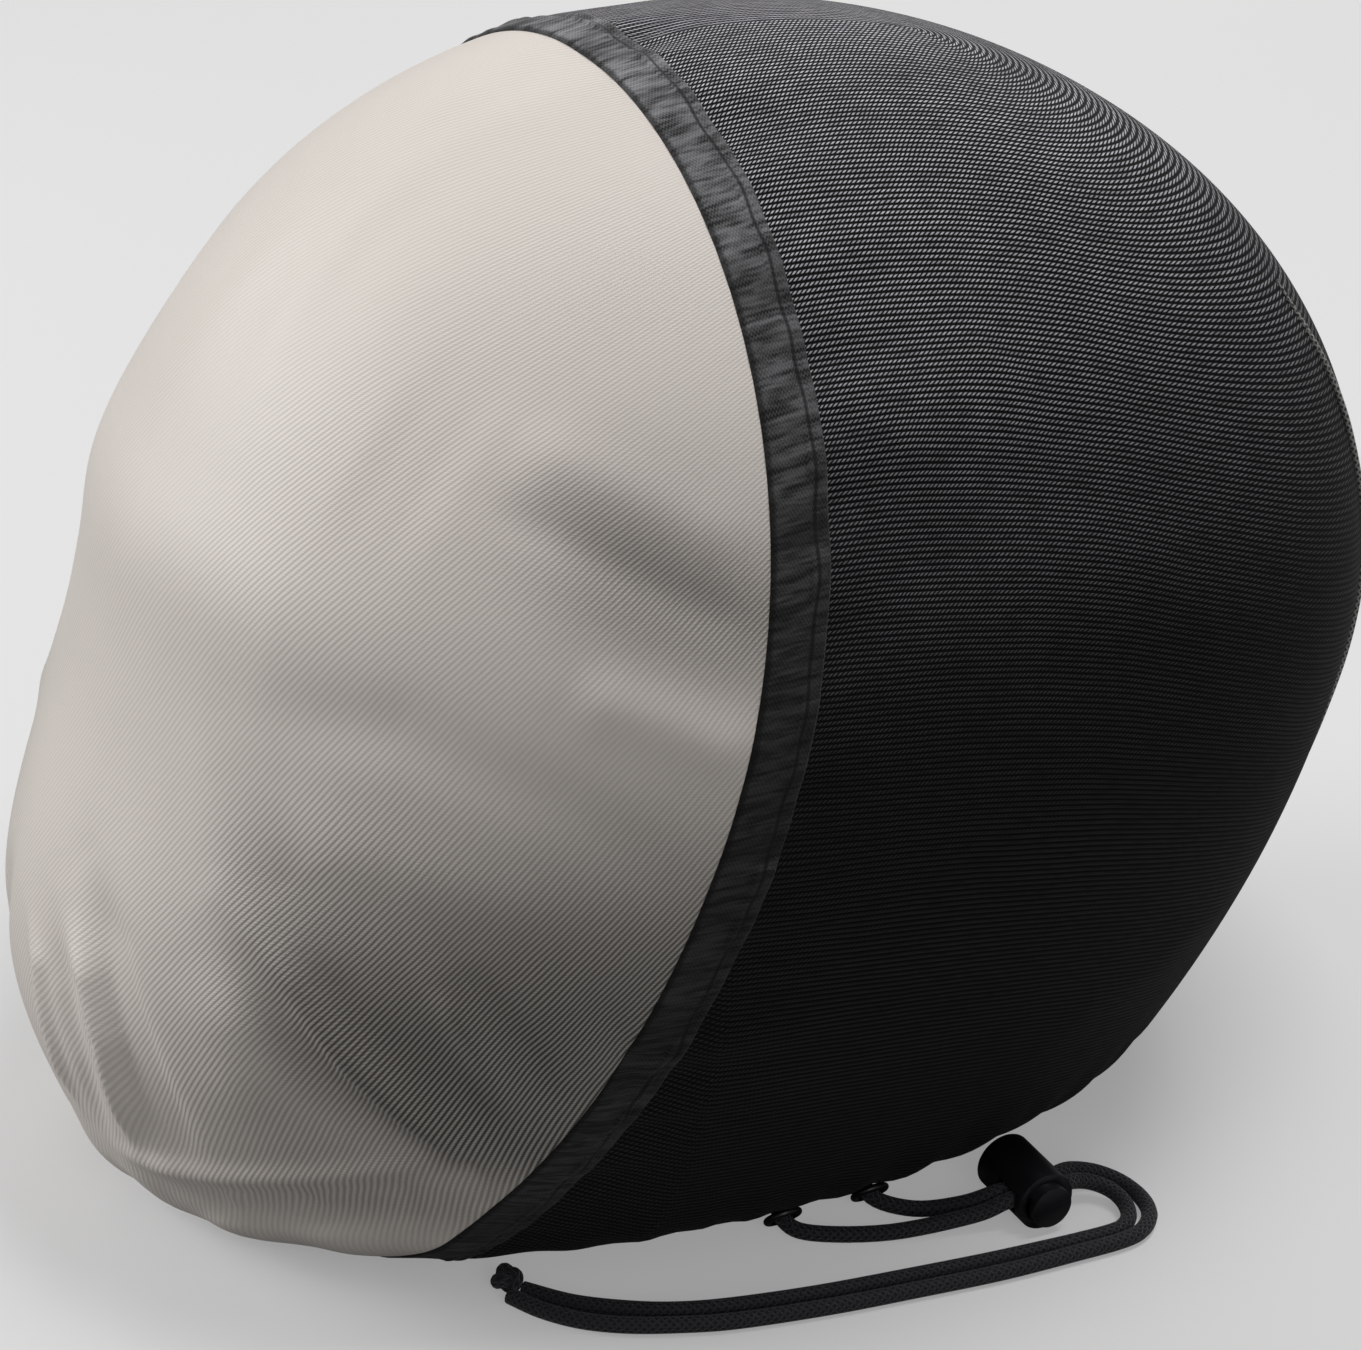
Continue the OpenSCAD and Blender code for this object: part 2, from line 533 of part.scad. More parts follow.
// Chin strap in two halves, unbuckled, and its buckle
strap_y = -8;
rivet_z = 25;
rivet_r = 2.5;
wall_x = shell_w(rivet_z, shell_t) - 1.2;
function strap_run(end) = [[wall_x + 1.3, 28.4], [wall_x - 1.9, 21.4], [wall_x - 7.5, 17.5],
    [wall_x - 13, 12.5], [wall_x - 20, 9.8], [end, 8.6]];
function side_step(p, k, t) = let(a = p[max(0, k - 1)], b = p[min(len(p) - 1, k + 1)], d = unit(b - a))
    [-d[1], d[0]] * t;
module webbing(p) {
    translate([0, strap_y + strap_w / 2, 0]) rotate([90, 0, 0]) linear_extrude(height = strap_w)
        polygon(concat([for (k = [0 : len(p) - 1]) p[k]],
            [for (k = [len(p) - 1 : -1 : 0]) p[k] - side_step(p, k, strap_t)]));
}
module rivet_hole() {
    translate([wall_x - 8, strap_y, rivet_z]) rotate([0, 90, 0])
        cylinder(h = 16, r = rivet_r + fit_gap, $fn = 32);
}
module chin_strap_left() {
    color("black") difference() {
        webbing(strap_run(34));
        rivet_hole();
    }
}
module chin_strap_right() {
    color("black") mirror([1, 0, 0]) difference() {
        webbing(strap_run(26));
        rivet_hole();
    }
}
module strap_rivets() {
    color("silver") to_both() translate([0, strap_y, rivet_z]) rotate([0, 90, 0]) {
        translate([0, 0, wall_x - 4.5]) cylinder(h = 9.6, r = rivet_r, $fn = 32);
        translate([0, 0, wall_x - 5.6]) cylinder(h = 1.6, r = 3.5, $fn = 32);
    }
}
box_x = 12;
module buckle_housing() {
    color("black") difference() {
        translate([box_x, strap_y - 15, 3.2]) cube([28, 30, 9]);
        translate([30, strap_y - strap_w / 2 - 0.3, 8.3]) cube([12, strap_w + 0.6, strap_t + 0.6]);
        translate([box_x - 1, strap_y - 9, 4.6]) cube([17, 18, 3]);
        translate([box_x - 1, strap_y - 8.3, 8.4]) cube([22, 16.6, 6]);
        translate([box_x + 16, strap_y - 16, 10]) rotate([-90, 0, 0]) cylinder(h = 32, r = 1.05, $fn = 24);
    }
}
module buckle_lever() {
    color("red") {
        translate([box_x + 16, strap_y - 14.5, 10]) rotate([-90, 0, 0]) cylinder(h = 29, r = 1, $fn = 24);
        translate([box_x + 0.5, strap_y - 8, 8.8]) cube([15.6, 16, 2.4]);
    }
}
module buckle_tongue() {
    color("silver") difference() {
        union() {
            translate([-34, strap_y - strap_w / 2 - 1, 7.4]) cube([12, strap_w + 2, 4]);
            translate([-22.5, strap_y - 8, 8.4]) cube([28, 16, 2]);
            for (k = [0 : 7]) translate([-20 + 3 * k, strap_y - 7, 10.2]) cube([1.5, 14, 0.8]);
        }
        translate([-35, strap_y - strap_w / 2 - 0.2, 8.3]) cube([11, strap_w + 0.4, strap_t + 0.6]);
    }
}

// The cloth bag over the closed helmet; its seam leans forward as it comes down
function seam_y(z) = let(u = max(0, top_z - 5 - z)) -seam_top - 0.065 * u - 0.00083 * u * u;
// Stretched from brow to chin, the cloth spans the hollow between them
cloth_span = 30;
function cloth_fall(z) = let(d = pivot_z - z) min(1, 0.5 * (d + sqrt(d * d + cloth_span * cloth_span)) / pivot_z);
function cloth_f(z, o) = front_w(z, o) + chin_out * (chin_bump(cloth_fall(z)) - chin_bump(fall(z)))
    * max(0, min(1, (top_z - 23 - z) / 70));
function cloth_form(z, t, o) = concat(section(half_w(z, o), cloth_f(z, o), back_w(z, o), t), [z]);
function cloth_x(y, z) = half_w(z, 0) * pow(1 - pow(abs(y) / cloth_f(z, 0), square_n), 1 / square_n);
function seam_turn(z, o, back) = turn_at(seam_y(z) + back, cloth_f(z, o));
cloth_z = [0, 1.2, 3.5, 7, 13, 24, 40, 58, 77, 96, 115, 134, 153, 172, 190, 207, 222, 235, 246, 255, 262];
crest_z = pivot_z + sqrt(pow(front_r, 2) - pow(seam_top, 2));
back_crest = pivot_z + sqrt(pow(front_r, 2) - pow(seam_top - band_w, 2));

module bag_front_panel() {
    zs = concat(cloth_z, [266, crest_z - 1.2, crest_z - 0.12]);
    function row(z, o) = let(e = seam_turn(z, 0, -0.4))
        [for (i = [0 : 21]) cloth_form(level(z, o), -e + 2 * e * i / 21, o)];
    color("silver") skin([for (z = zs) row(z, 0)], [for (z = zs) row(z, cloth_t)], len(zs));
}
module bag_rear_panel() {
    zs = concat(cloth_z, [267, 270, back_crest - 0.4]);
    function row(z, o, e) = [for (t = turns_from(e, 21)) cloth_form(level(z, o), t, o)];
    color("black") difference() {
        skin(concat([for (z = zs) row(z, 0, seam_turn(z, 0, band_w + 0.3))], [row(back_crest + 0.3, 0, 0)]),
            concat([for (z = zs) row(z, cloth_t, seam_turn(z, 0, band_w + 0.3))],
                [row(back_crest + 0.3, cloth_t, 0)]),
            len(zs), [[0, 0, top_z], [0, 0, top_z - cloth_t]]);
        for (e = exits) translate(e) rotate([0, exit_lean, 0])
            cylinder(h = 12, r = exit_r, center = true, $fn = 24);
    }
}
// Height above the pivot line at which a straight line leaning a degrees meets the outside form
function reach_at(a, back, o, low = 60, high = 190, k = 16) = let(r = (low + high) / 2,
    z = pivot_z + r * cos(a), y = seam_y(z) + back, w = half_w(z, o), f = cloth_f(z, o),
    over = w < 1 || f < 1 || pow(r * sin(abs(a)) / w, square_n) + pow(abs(y) / f, square_n) > 1)
    k == 0 ? r : over ? reach_at(a, back, o, low, r, k - 1) : reach_at(a, back, o, r, high, k - 1);
function crown_pt(a, back, o) = let(r = reach_at(a, back, o), z = pivot_z + r * cos(a))
    [r * sin(a), seam_y(z) + back, z];
module bag_seam_band() {
    low_z = [for (k = [0 : 14]) cloth_z[k]];
    high = pivot_z + 0.41 * front_r;
    join = atan2(cloth_x(seam_y(high), high), high - pivot_z) - 5;
    backs = [0, band_w / 2, band_w];
    function side_row(z, o) = [for (b = backs) cloth_form(level(z, o), seam_turn(z, 0, b), o)];
    function flip(row) = [for (i = [2 : -1 : 0]) [-row[i][0], row[i][1], row[i][2]]];
    function band_rows(o) = concat([for (z = low_z) side_row(z, o)],
        [for (k = [0 : 18]) let(a = join * (1 - k / 9)) [for (b = backs) crown_pt(a, b, o)]],
        [for (k = [14 : -1 : 0]) let(r = side_row(low_z[k], o))
            [for (i = [0 : 2]) [-r[i][0], r[i][1], r[i][2]]]]);
    color("dimgray") skin(band_rows(0), band_rows(cloth_t), 49);
}
// A closed ring of profiles round the hem
module loop(rings) {
    m = len(rings);
    n = len(rings[0]);
    polyhedron([for (r = rings) each r], [for (k = [0 : m - 1], i = [0 : n - 1])
        let(a = k * n + i, b = k * n + (i + 1) % n, c = ((k + 1) % m) * n + i,
            d = ((k + 1) % m) * n + (i + 1) % n) each [[a, d, b], [a, c, d]]], convexity = 6);
}
hem_mid = cord_d / 2 + 0.4 + cloth_t;
hem_in = hem_w - hem_mid;
function hem_pt(t, inset, z) = concat(section(half_w(0, 0) - inset, front_w(0, 0) - inset,
    back_w(0, 0) - inset, t), [z]);
function hem_ring(t, r) = [for (i = [0 : 5]) hem_pt(t, hem_in + r * cos(60 * i) / cos(30),
    hem_mid + r * sin(60 * i) / cos(30))];
module bag_hem_casing() {
    count = 24;
    ts = [for (i = [0 : count - 1]) 360 * i / count];
    color("black") difference() {
        union() {
            loop([for (t = ts) hem_ring(t, hem_mid)]);
            linear_extrude(height = cloth_t) difference() {
                polygon([for (t = ts) let(p = hem_pt(t, 0.4, 0)) [p[0], p[1]]]);
                polygon([for (t = ts) let(p = hem_pt(t, hem_in, 0)) [p[0], p[1]]]);
            }
        }
        loop([for (t = ts) hem_ring(t, hem_mid - cloth_t)]);
        for (e = exits) translate([hem_x, e[1], hem_mid]) rotate([0, 90, 0])
            cylinder(h = 8, r = exit_r + 0.3, $fn = 24);
    }
}
pipe_turns = [for (z = [212, 190, 170, 145, 120, 95, 70, 45, 22]) [z, 149 + max(0, z - 180) / 32]];
module bag_side_piping() {
    path = [for (p = pipe_turns) form(p[0], p[1], -1.05)];
    color("silver") to_both() bar(path, [for (p = path) [p[0], p[1], 0]], ring_profile(0.75, 6));
}
exit_z = 5.8;
exit_x = half_w(exit_z, 0) - 1;
exit_lean = 90 + 40;
exit_r = cord_d / 2 + 0.9;
exits = [[exit_x, -12, exit_z], [exit_x, 12, exit_z]];
exit_dir = [sin(exit_lean), 0, cos(exit_lean)];
module cord_eyelets() {
    color("silver") for (e = exits) translate(e) rotate([0, exit_lean, 0]) translate([0, 0, 2.3])
        rotate_extrude($fn = 24) translate([exit_r + 1, 0]) circle(r = 0.7, $fn = 14);
}

// The cord, its lock lying on the floor and the long ends
cord_z = cord_d / 2;
lock_at = [101, 46, lock_d / 2];
module cord_run(path) {
    color("black") bar(path, [for (p = path) [0, 0, 1]], ring_profile(cord_d / 2, 8));
}
function cast(points, s, k) = let(p = points[max(0, k - 1)], a = points[k], b = points[k + 1],
    q = points[min(len(points) - 1, k + 2)])
    0.5 * (2 * a + (b - p) * s + (2 * p - 5 * a + 4 * b - q) * s * s + (3 * a - p - 3 * b + q) * s * s * s);
function smooth(points, n) = concat([for (k = [0 : len(points) - 2], i = [0 : n - 1]) cast(points, i / n, k)],
    [points[len(points) - 1]]);
hem_x = half_w(0, 0) - hem_in;
short_a = [[106.2, 45.6, 7.5], [106, 38, 7.2], [104, 30, 4.2], [99, 10, cord_z], [91.5, -7, cord_z],
    exits[0] + 3.4 * exit_dir, exits[0] - 4 * exit_dir, [68, -12.5, 6.4], [62, -12.5, 4.4],
    [hem_x - 0.8, -15, hem_mid]];
short_b = [[hem_x - 0.9, 15, hem_mid], [62, 12.5, 4.4], [68, 12.5, 6.4], exits[1] - 4 * exit_dir,
    exits[1] + 3.4 * exit_dir, [93, 20, cord_z], [98.5, 30, 4], [101.8, 38, 7.2], [102, 45.6, 7.5]];
module drawcord_short_ends() {
    ring = [for (i = [1 : 23]) hem_pt(90 - 15 * i, hem_in, hem_mid)];
    cord_run(concat(smooth(short_a, 2), ring, smooth(short_b, 2)));
}
long_a = [[102, 46.4, 7.5], [101.7, 53, 7.4], [99.8, 59.6, 6.1], [101.1, 66.2, 4.4], [106, 71, 3],
    [112.6, 72.6, 2.1], [119.2, 70.6, cord_z], [123.8, 65.4, cord_z], [125.3, 58.6, cord_z],
    [125, 46, cord_z], [124, 26, cord_z], [121.4, 4, cord_z], [118.4, -18, cord_z], [114, -40, cord_z],
    [109.6, -53, cord_z], [104.6, -64, cord_z], [98.6, -72.6, cord_z], [91.2, -79, cord_z],
    [83.2, -83.2, cord_z]];
long_b = [[106.2, 46.4, 7.5], [105.8, 52.6, 7.4], [104.4, 58.2, 6.1], [105.3, 62.8, 4.9],
    [108.5, 66.1, 3.8], [112.8, 67.2, 2.8], [117.1, 66, 2.1], [120.2, 62.8, cord_z],
    [121.3, 58.4, cord_z], [121, 50, cord_z], [120.2, 40, cord_z], [118.6, 24, cord_z],
    [116, 4, cord_z], [112.8, -18, cord_z], [108.6, -38, cord_z], [104.8, -50, cord_z],
    [99.8, -60, cord_z], [92, -71, cord_z], [82.4, -79.4, cord_z]];
module drawcord_long_ends() {
    cord_run(long_a);
    cord_run(long_b);
}
module cord_end_knot() {
    color("black") translate([78.6, -82.3, 3.6]) sphere(r = 3.6, $fn = 24);
}
module lock_frame() {
    translate(lock_at) rotate([90, 0, 90]) children();
}
module cord_lock_body() {
    color("black") difference() {
        lock_frame() translate([0, 0, -lock_l / 2]) cylinder(h = lock_l, r = lock_d / 2, $fn = 64);
        lock_frame() translate([0, 0, -lock_l / 2 + 2]) cylinder(h = lock_l, r = lock_d / 2 - 2, $fn = 64);
        translate(lock_at + [-1.4, -20, -2.7]) cube([8.9, 40, 5.4]);
    }
}
module cord_lock_button() {
    color("dimgray") difference() {
        lock_frame() translate([0, 0, -lock_l / 2 + 6])
            cylinder(h = lock_l - 3, r = lock_d / 2 - 2.1, $fn = 64);
        lock_frame() translate([0, 0, -lock_l / 2 + 5]) cylinder(h = 2.5, r = lock_d / 2 - 3.6, $fn = 64);
        translate(lock_at + [-1.3, -20, -2.7]) cube([8.9 + lock_travel, 40, 5.4]);
    }
}
module cord_lock_spring() {
    color("silver") lock_frame() coil(3.2, 0.4, -lock_l / 2 + 2.1, -lock_l / 2 + 7.3, 3);
}

// The helmet's middle lies behind the pivot line's middle
mid_y = (back_r - front_w(pivot_z * (1 - chin_mid), 0)) / 2;

module cheek_pad_left() {
    cheek_pad();
}
module cheek_pad_right() {
    mirror([1, 0, 0]) cheek_pad();
}
module pivot_base_left() {
    pivot_base();
}
module pivot_base_right() {
    mirror([1, 0, 0]) pivot_base();
}
module pivot_cover_left() {
    pivot_cover();
}
module pivot_cover_right() {
    mirror([1, 0, 0]) pivot_cover();
}

translate([0, -mid_y, 0]) {
    outer_shell();
    foam_liner();
    crown_pad();
    cheek_pad_left();
    cheek_pad_right();
    neck_roll();
    rim_trim();
    eye_port_gasket();
    chin_bar();
    chin_bar_foam();
    chin_curtain();
    breath_deflector();
    chin_vent_slider();
    release_button();
    button_spring();
    latch_claws();
    latch_pins();
    visor();
    sun_visor();
    sun_visor_pins();
    sun_visor_lever();
    pivot_base_left();
    pivot_base_right();
    pivot_cover_left();
    pivot_cover_right();
    top_vent_duct();
    top_vent_slider();
    rear_vent();
    chin_strap_left();
    chin_strap_right();
    buckle_housing();
    buckle_lever();
    buckle_tongue();
    strap_rivets();
    bag_front_panel();
    bag_rear_panel();
    bag_seam_band();
    bag_hem_casing();
    bag_side_piping();
    cord_eyelets();
    drawcord_short_ends();
    drawcord_long_ends();
    cord_lock_body();
    cord_lock_button();
    cord_lock_spring();
    cord_end_knot();
}
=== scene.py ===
# %% [markdown]
# # A modular helmet in its stretch bag
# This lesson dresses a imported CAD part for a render.

# %% Load the frame
import math
import bpy
import numpy as np
from mathutils import Matrix, Vector


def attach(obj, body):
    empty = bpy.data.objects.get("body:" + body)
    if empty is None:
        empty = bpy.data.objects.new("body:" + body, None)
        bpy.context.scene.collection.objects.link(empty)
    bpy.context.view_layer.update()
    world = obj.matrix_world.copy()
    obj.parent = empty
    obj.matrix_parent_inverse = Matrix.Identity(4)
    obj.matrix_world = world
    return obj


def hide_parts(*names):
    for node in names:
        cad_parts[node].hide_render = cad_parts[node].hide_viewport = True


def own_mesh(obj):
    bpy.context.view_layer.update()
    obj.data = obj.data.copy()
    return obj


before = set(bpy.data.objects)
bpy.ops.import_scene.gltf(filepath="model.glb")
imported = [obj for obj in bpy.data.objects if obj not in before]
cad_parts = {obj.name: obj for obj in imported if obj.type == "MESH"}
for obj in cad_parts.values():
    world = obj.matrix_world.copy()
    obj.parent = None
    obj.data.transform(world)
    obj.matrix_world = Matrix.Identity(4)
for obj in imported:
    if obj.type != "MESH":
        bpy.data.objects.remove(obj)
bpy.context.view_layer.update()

# %% [markdown]
# ## The form that everything follows
# The bag and the shells under it share one form: a dome about the pivot line of the visor, a chin
# that stands out in front and a nape that draws in. It could be sculpted by eye, but the CAD has it
# as a few formulas, so the same formulas in Python put each thin layer exactly over the next.

# %% Sizes in millimetres
PIVOT, TOP = 132, 273    # heights of the visor's pivot line and of the crown
DOME_R = TOP - PIVOT
FRONT, SIDE, BACK = 141, 128, 175    # the dome's reach each way from the pivot line
SIDE_IN, NAPE_IN, NAPE_CURVE = 41, 47, 1.46    # how the foot draws in
CHIN_OUT, CHIN_MID, CHIN_SPAN = 28, 0.527, 0.45    # how the chin stands out, and where
FOOT_R = 20    # the round of the lower edge
SQUARE = 2.15    # 2 is an ellipse, and more is squarer
MID_Y = 3.795    # the middle of the object's length, from the pivot line
SEAM_Y, SEAM_SLOPE, SEAM_CURVE = -30, 0.065, 0.00083    # the seam's place on the crown and its lean

def fall(z):
    return np.clip((PIVOT - z) / PIVOT, 0, 1)

def rise(z, r):
    return np.sqrt(np.clip(1 - (np.maximum(0, z - PIVOT) / r) ** 2, 0, 1))

def chin_bump(s):
    start = math.exp(-(CHIN_MID / CHIN_SPAN) ** 2)
    return np.exp(-((s - CHIN_MID) / CHIN_SPAN) ** 2) - start * (1 - s) ** 2

def tuck(z, o):
    r = max(1, FOOT_R - o)
    q = np.clip(1 - (z - o) / r, 0, 1)
    return r * (1 - np.sqrt(1 - q * q))

def half_w(z, o):
    return (SIDE - o) * rise(z, FRONT - o) - SIDE_IN * fall(z) ** 2 - tuck(z, o)

def front_w(z, o):
    return (FRONT - o) * rise(z, FRONT - o) + CHIN_OUT * chin_bump(fall(z)) - tuck(z, o)

def back_w(z, o):
    return (BACK - o) * rise(z, FRONT - o) - NAPE_IN * fall(z) ** NAPE_CURVE - tuck(z, o)

def section(side, ahead, behind, t):
    """A level section at t degrees from the front: a squared ellipse of two halves."""
    c, s = np.cos(np.radians(t)), np.sin(np.radians(t))
    e = 2 / SQUARE
    reach = np.where(c > 0, ahead, behind)
    return np.sign(s) * side * np.abs(s) ** e, -np.sign(c) * reach * np.abs(c) ** e

def form(z, t, o=0.0):
    """The form at height z and t degrees from the front, o mm inside the bag's outer face."""
    x, y = section(half_w(z, o), front_w(z, o), back_w(z, o), t)
    return np.stack([x, y, np.broadcast_to(z, x.shape)], axis=-1)

def seam_y(z):
    u = np.maximum(0, TOP - 5 - z)
    return SEAM_Y - SEAM_SLOPE * u - SEAM_CURVE * u * u

def turn_at(y, reach):
    return np.degrees(np.arccos(np.clip(-y / np.maximum(reach, 1e-6), 0, 1) ** (SQUARE / 2)))

def cloth_front(z):
    """Stretched from brow to chin, the cloth runs straight where the form under it has a hollow."""
    soft = np.minimum(1, 0.5 * (PIVOT - z + np.sqrt((PIVOT - z) ** 2 + 30 ** 2)) / PIVOT)
    spare = chin_bump(soft) - chin_bump(fall(z))
    return front_w(z, 0) + CHIN_OUT * spare * np.clip((250 - z) / 70, 0, 1)

def cloth_form(z, t):
    x, y = section(half_w(z, 0), cloth_front(z), back_w(z, 0), t)
    return np.stack([x, y, np.broadcast_to(z, x.shape)], axis=-1)

def metres(points):
    return (np.asarray(points, float) - [0, MID_Y, 0]) / 1000

def along(path):
    """The way run along a path at each of its points."""
    return np.concatenate([[0], np.cumsum(np.linalg.norm(np.diff(path, axis=0), axis=1))])

print("bag, in mm:", round(float(2 * half_w(PIVOT, 0))), "wide and", TOP, "high")

# %% [markdown]
# ## Camera
# The photo was taken from the wearer's left and a little above, with the camera tilted slightly.
# Its place was found by fitting the outline of the form, so here it is written down as numbers:
# a long lens one metre away, rolled by a little over two degrees.

# %% Camera
AZIMUTH, ELEVATION, ROLL = 61.1, 26.88, 2.33    # degrees
LENS, SENSOR, SHIFT = 108.9, 36, (0.0014, -0.049)
AIM, AWAY = np.array([0, -MID_Y / 1000, 0.125]), 1.0

az, el, roll = np.radians([AZIMUTH, ELEVATION, ROLL]).tolist()
back = np.array([math.sin(az) * math.cos(el), -math.cos(az) * math.cos(el), math.sin(el)])
right = np.array([math.cos(az), math.sin(az), 0.0])
up = np.cross(back, right)
right, up = right * math.cos(roll) + up * math.sin(roll), up * math.cos(roll) - right * math.sin(roll)
lens = bpy.data.cameras.new("photo_lens")
lens.sensor_fit, lens.sensor_width, lens.lens = "HORIZONTAL", SENSOR, LENS
lens.shift_x, lens.shift_y = SHIFT
lens.clip_start, lens.clip_end = 0.05, 50
camera = bpy.data.objects.new("photo_camera", lens)
bpy.context.scene.collection.objects.link(camera)
place = np.eye(4)
place[:3, 0], place[:3, 1], place[:3, 2] = right, up, back
place[:3, 3] = AIM + back * AWAY
camera.matrix_world = Matrix(place.tolist())
bpy.context.scene.camera = camera
print("camera at", [round(v, 3) for v in place[:3, 3]])

# %% [markdown]
# ## Making pieces
# Each shaped piece starts as a grid primitive. Its two directions are shares from 0 to 1, and a
# function says where each share lies on the form, which keeps rows of quads running with the cloth.
# Doubles are merged where the grid closes on itself, and Solidify gives the sheet its wall.

# %% Picking a piece up, naming it and moving its points
def activate(obj):
    bpy.ops.object.select_all(action="DESELECT")
    obj.select_set(True)
    bpy.context.view_layer.objects.active = obj

def adopt(obj, name, material, body, replaces=()):
    obj.name = obj.data.name = name
    obj.data.materials.clear()
    obj.data.materials.append(material)
    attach(obj, body)
    if replaces:
        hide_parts(*replaces)
    return obj

def read(obj, what):
    values = np.empty(len(obj.data.vertices) * 3)
    obj.data.vertices.foreach_get(what, values)
    return values.reshape(-1, 3)

def coords(obj):
    return read(obj, "co")

def in_mm(obj):
    return coords(obj) * 1000 + [0, MID_Y, 0]

def put(obj, points):
    obj.data.vertices.foreach_set("co", np.asarray(points, float).ravel())
    obj.data.update()

print("the CAD's nodes:", len(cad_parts))

# %% Shaping a piece
WELD, SPECK = 1e-5, 1e-6    # metres: points closer than the first are one, edges under the second go

def open_mesh(obj):
    """Edit mode, with the whole mesh selected."""
    activate(obj)
    bpy.ops.object.mode_set(mode="EDIT")
    bpy.ops.mesh.select_all(action="SELECT")

def close_mesh():
    bpy.ops.object.mode_set(mode="OBJECT")

def apply(obj, name, kind, **settings):
    """Adds a modifier, sets it and applies it."""
    modifier = obj.modifiers.new(name, kind)
    for key, value in settings.items():
        setattr(modifier, key, value)
    bpy.ops.object.modifier_apply(modifier=name)

def sheet_of(name, columns, rows, place, thick, offset=-1.0):
    """A grid primitive whose point at shares (u, v) goes to place(u, v), in CAD millimetres."""
    bpy.ops.object.select_all(action="DESELECT")
    bpy.ops.mesh.primitive_grid_add(x_subdivisions=columns, y_subdivisions=rows, size=1)
    obj = bpy.context.active_object
    obj.name = name
    uv = coords(obj)[:, :2] + 0.5
    put(obj, metres(place(uv[:, 0], uv[:, 1])))
    open_mesh(obj)
    bpy.ops.mesh.remove_doubles(threshold=WELD)
    bpy.ops.mesh.dissolve_degenerate(threshold=SPECK)
    close_mesh()
    bpy.ops.object.shade_smooth()
    apply(obj, "wall", "SOLIDIFY", thickness=thick / 1000, offset=offset)
    return obj

print("points closer than", WELD * 1000, "mm will be merged")

# %% Values that lie on a piece
def lay_uv(obj, fn):
    """Cloth coordinates in millimetres, from each point's place on the form."""
    mesh = obj.data
    layer = mesh.uv_layers.new(name="weave")
    mesh.uv_layers.active = layer
    uv = np.stack(fn(in_mm(obj)), axis=-1)
    idx = np.empty(len(mesh.loops), dtype=np.int32)
    mesh.loops.foreach_get("vertex_index", idx)
    layer.data.foreach_set("uv", uv[idx].astype(np.float32).ravel())

def mark(obj, name, fn):
    """A number from 0 to 1 at each point, for a finish that changes over the piece."""
    layer = obj.data.attributes.new(name, "FLOAT", "POINT")
    layer.data.foreach_set("value", np.clip(fn(in_mm(obj)), 0, 1).astype(np.float32))

def tris(obj):
    return sum(len(p.vertices) - 2 for p in obj.data.polygons)

# %% [markdown]
# ## Shader sums
# A finish is easier to read as a sum than as a net of nodes. This small class wraps a socket, so
# that `1 - mask` or `u * 2 + noise` adds the Math nodes by itself. Colours go through Mix nodes,
# because a Math node would turn them grey.

# %% A class for sockets
def math_node(operation, turned=False):
    """A method that adds one Math node; turned swaps its two values, as in 1 - mask."""
    def method(self, *others):
        values = (self,) + others
        if turned:
            values = values[::-1]
        return self.finish.add("ShaderNodeMath", {"operation": operation}, dict(enumerate(values)))
    return method

class Wire:
    def __init__(self, finish, socket):
        self.finish = finish
        self.socket = socket

    __add__ = __radd__ = math_node("ADD")
    __mul__ = __rmul__ = math_node("MULTIPLY")
    __sub__ = math_node("SUBTRACT")
    __rsub__ = math_node("SUBTRACT", turned=True)
    __truediv__ = math_node("DIVIDE")
    __pow__ = math_node("POWER")
    sin = math_node("SINE")
    frac = math_node("FRACT")
    floor = math_node("FLOOR")
    abs = math_node("ABSOLUTE")
    at_least = math_node("MAXIMUM")

    def wave(self):
        """From 0 to 1 and back, once for each whole number."""
        return (self * (2 * math.pi)).sin() * 0.5 + 0.5

    def band(self, low, high):
        """0 below low, 1 above high, smooth in between."""
        return self.finish.add("ShaderNodeMapRange", {"interpolation_type": "SMOOTHSTEP"},
                               {"Value": self, "From Min": low, "From Max": high})

print("sums, products and waves of sockets can now be written as such")

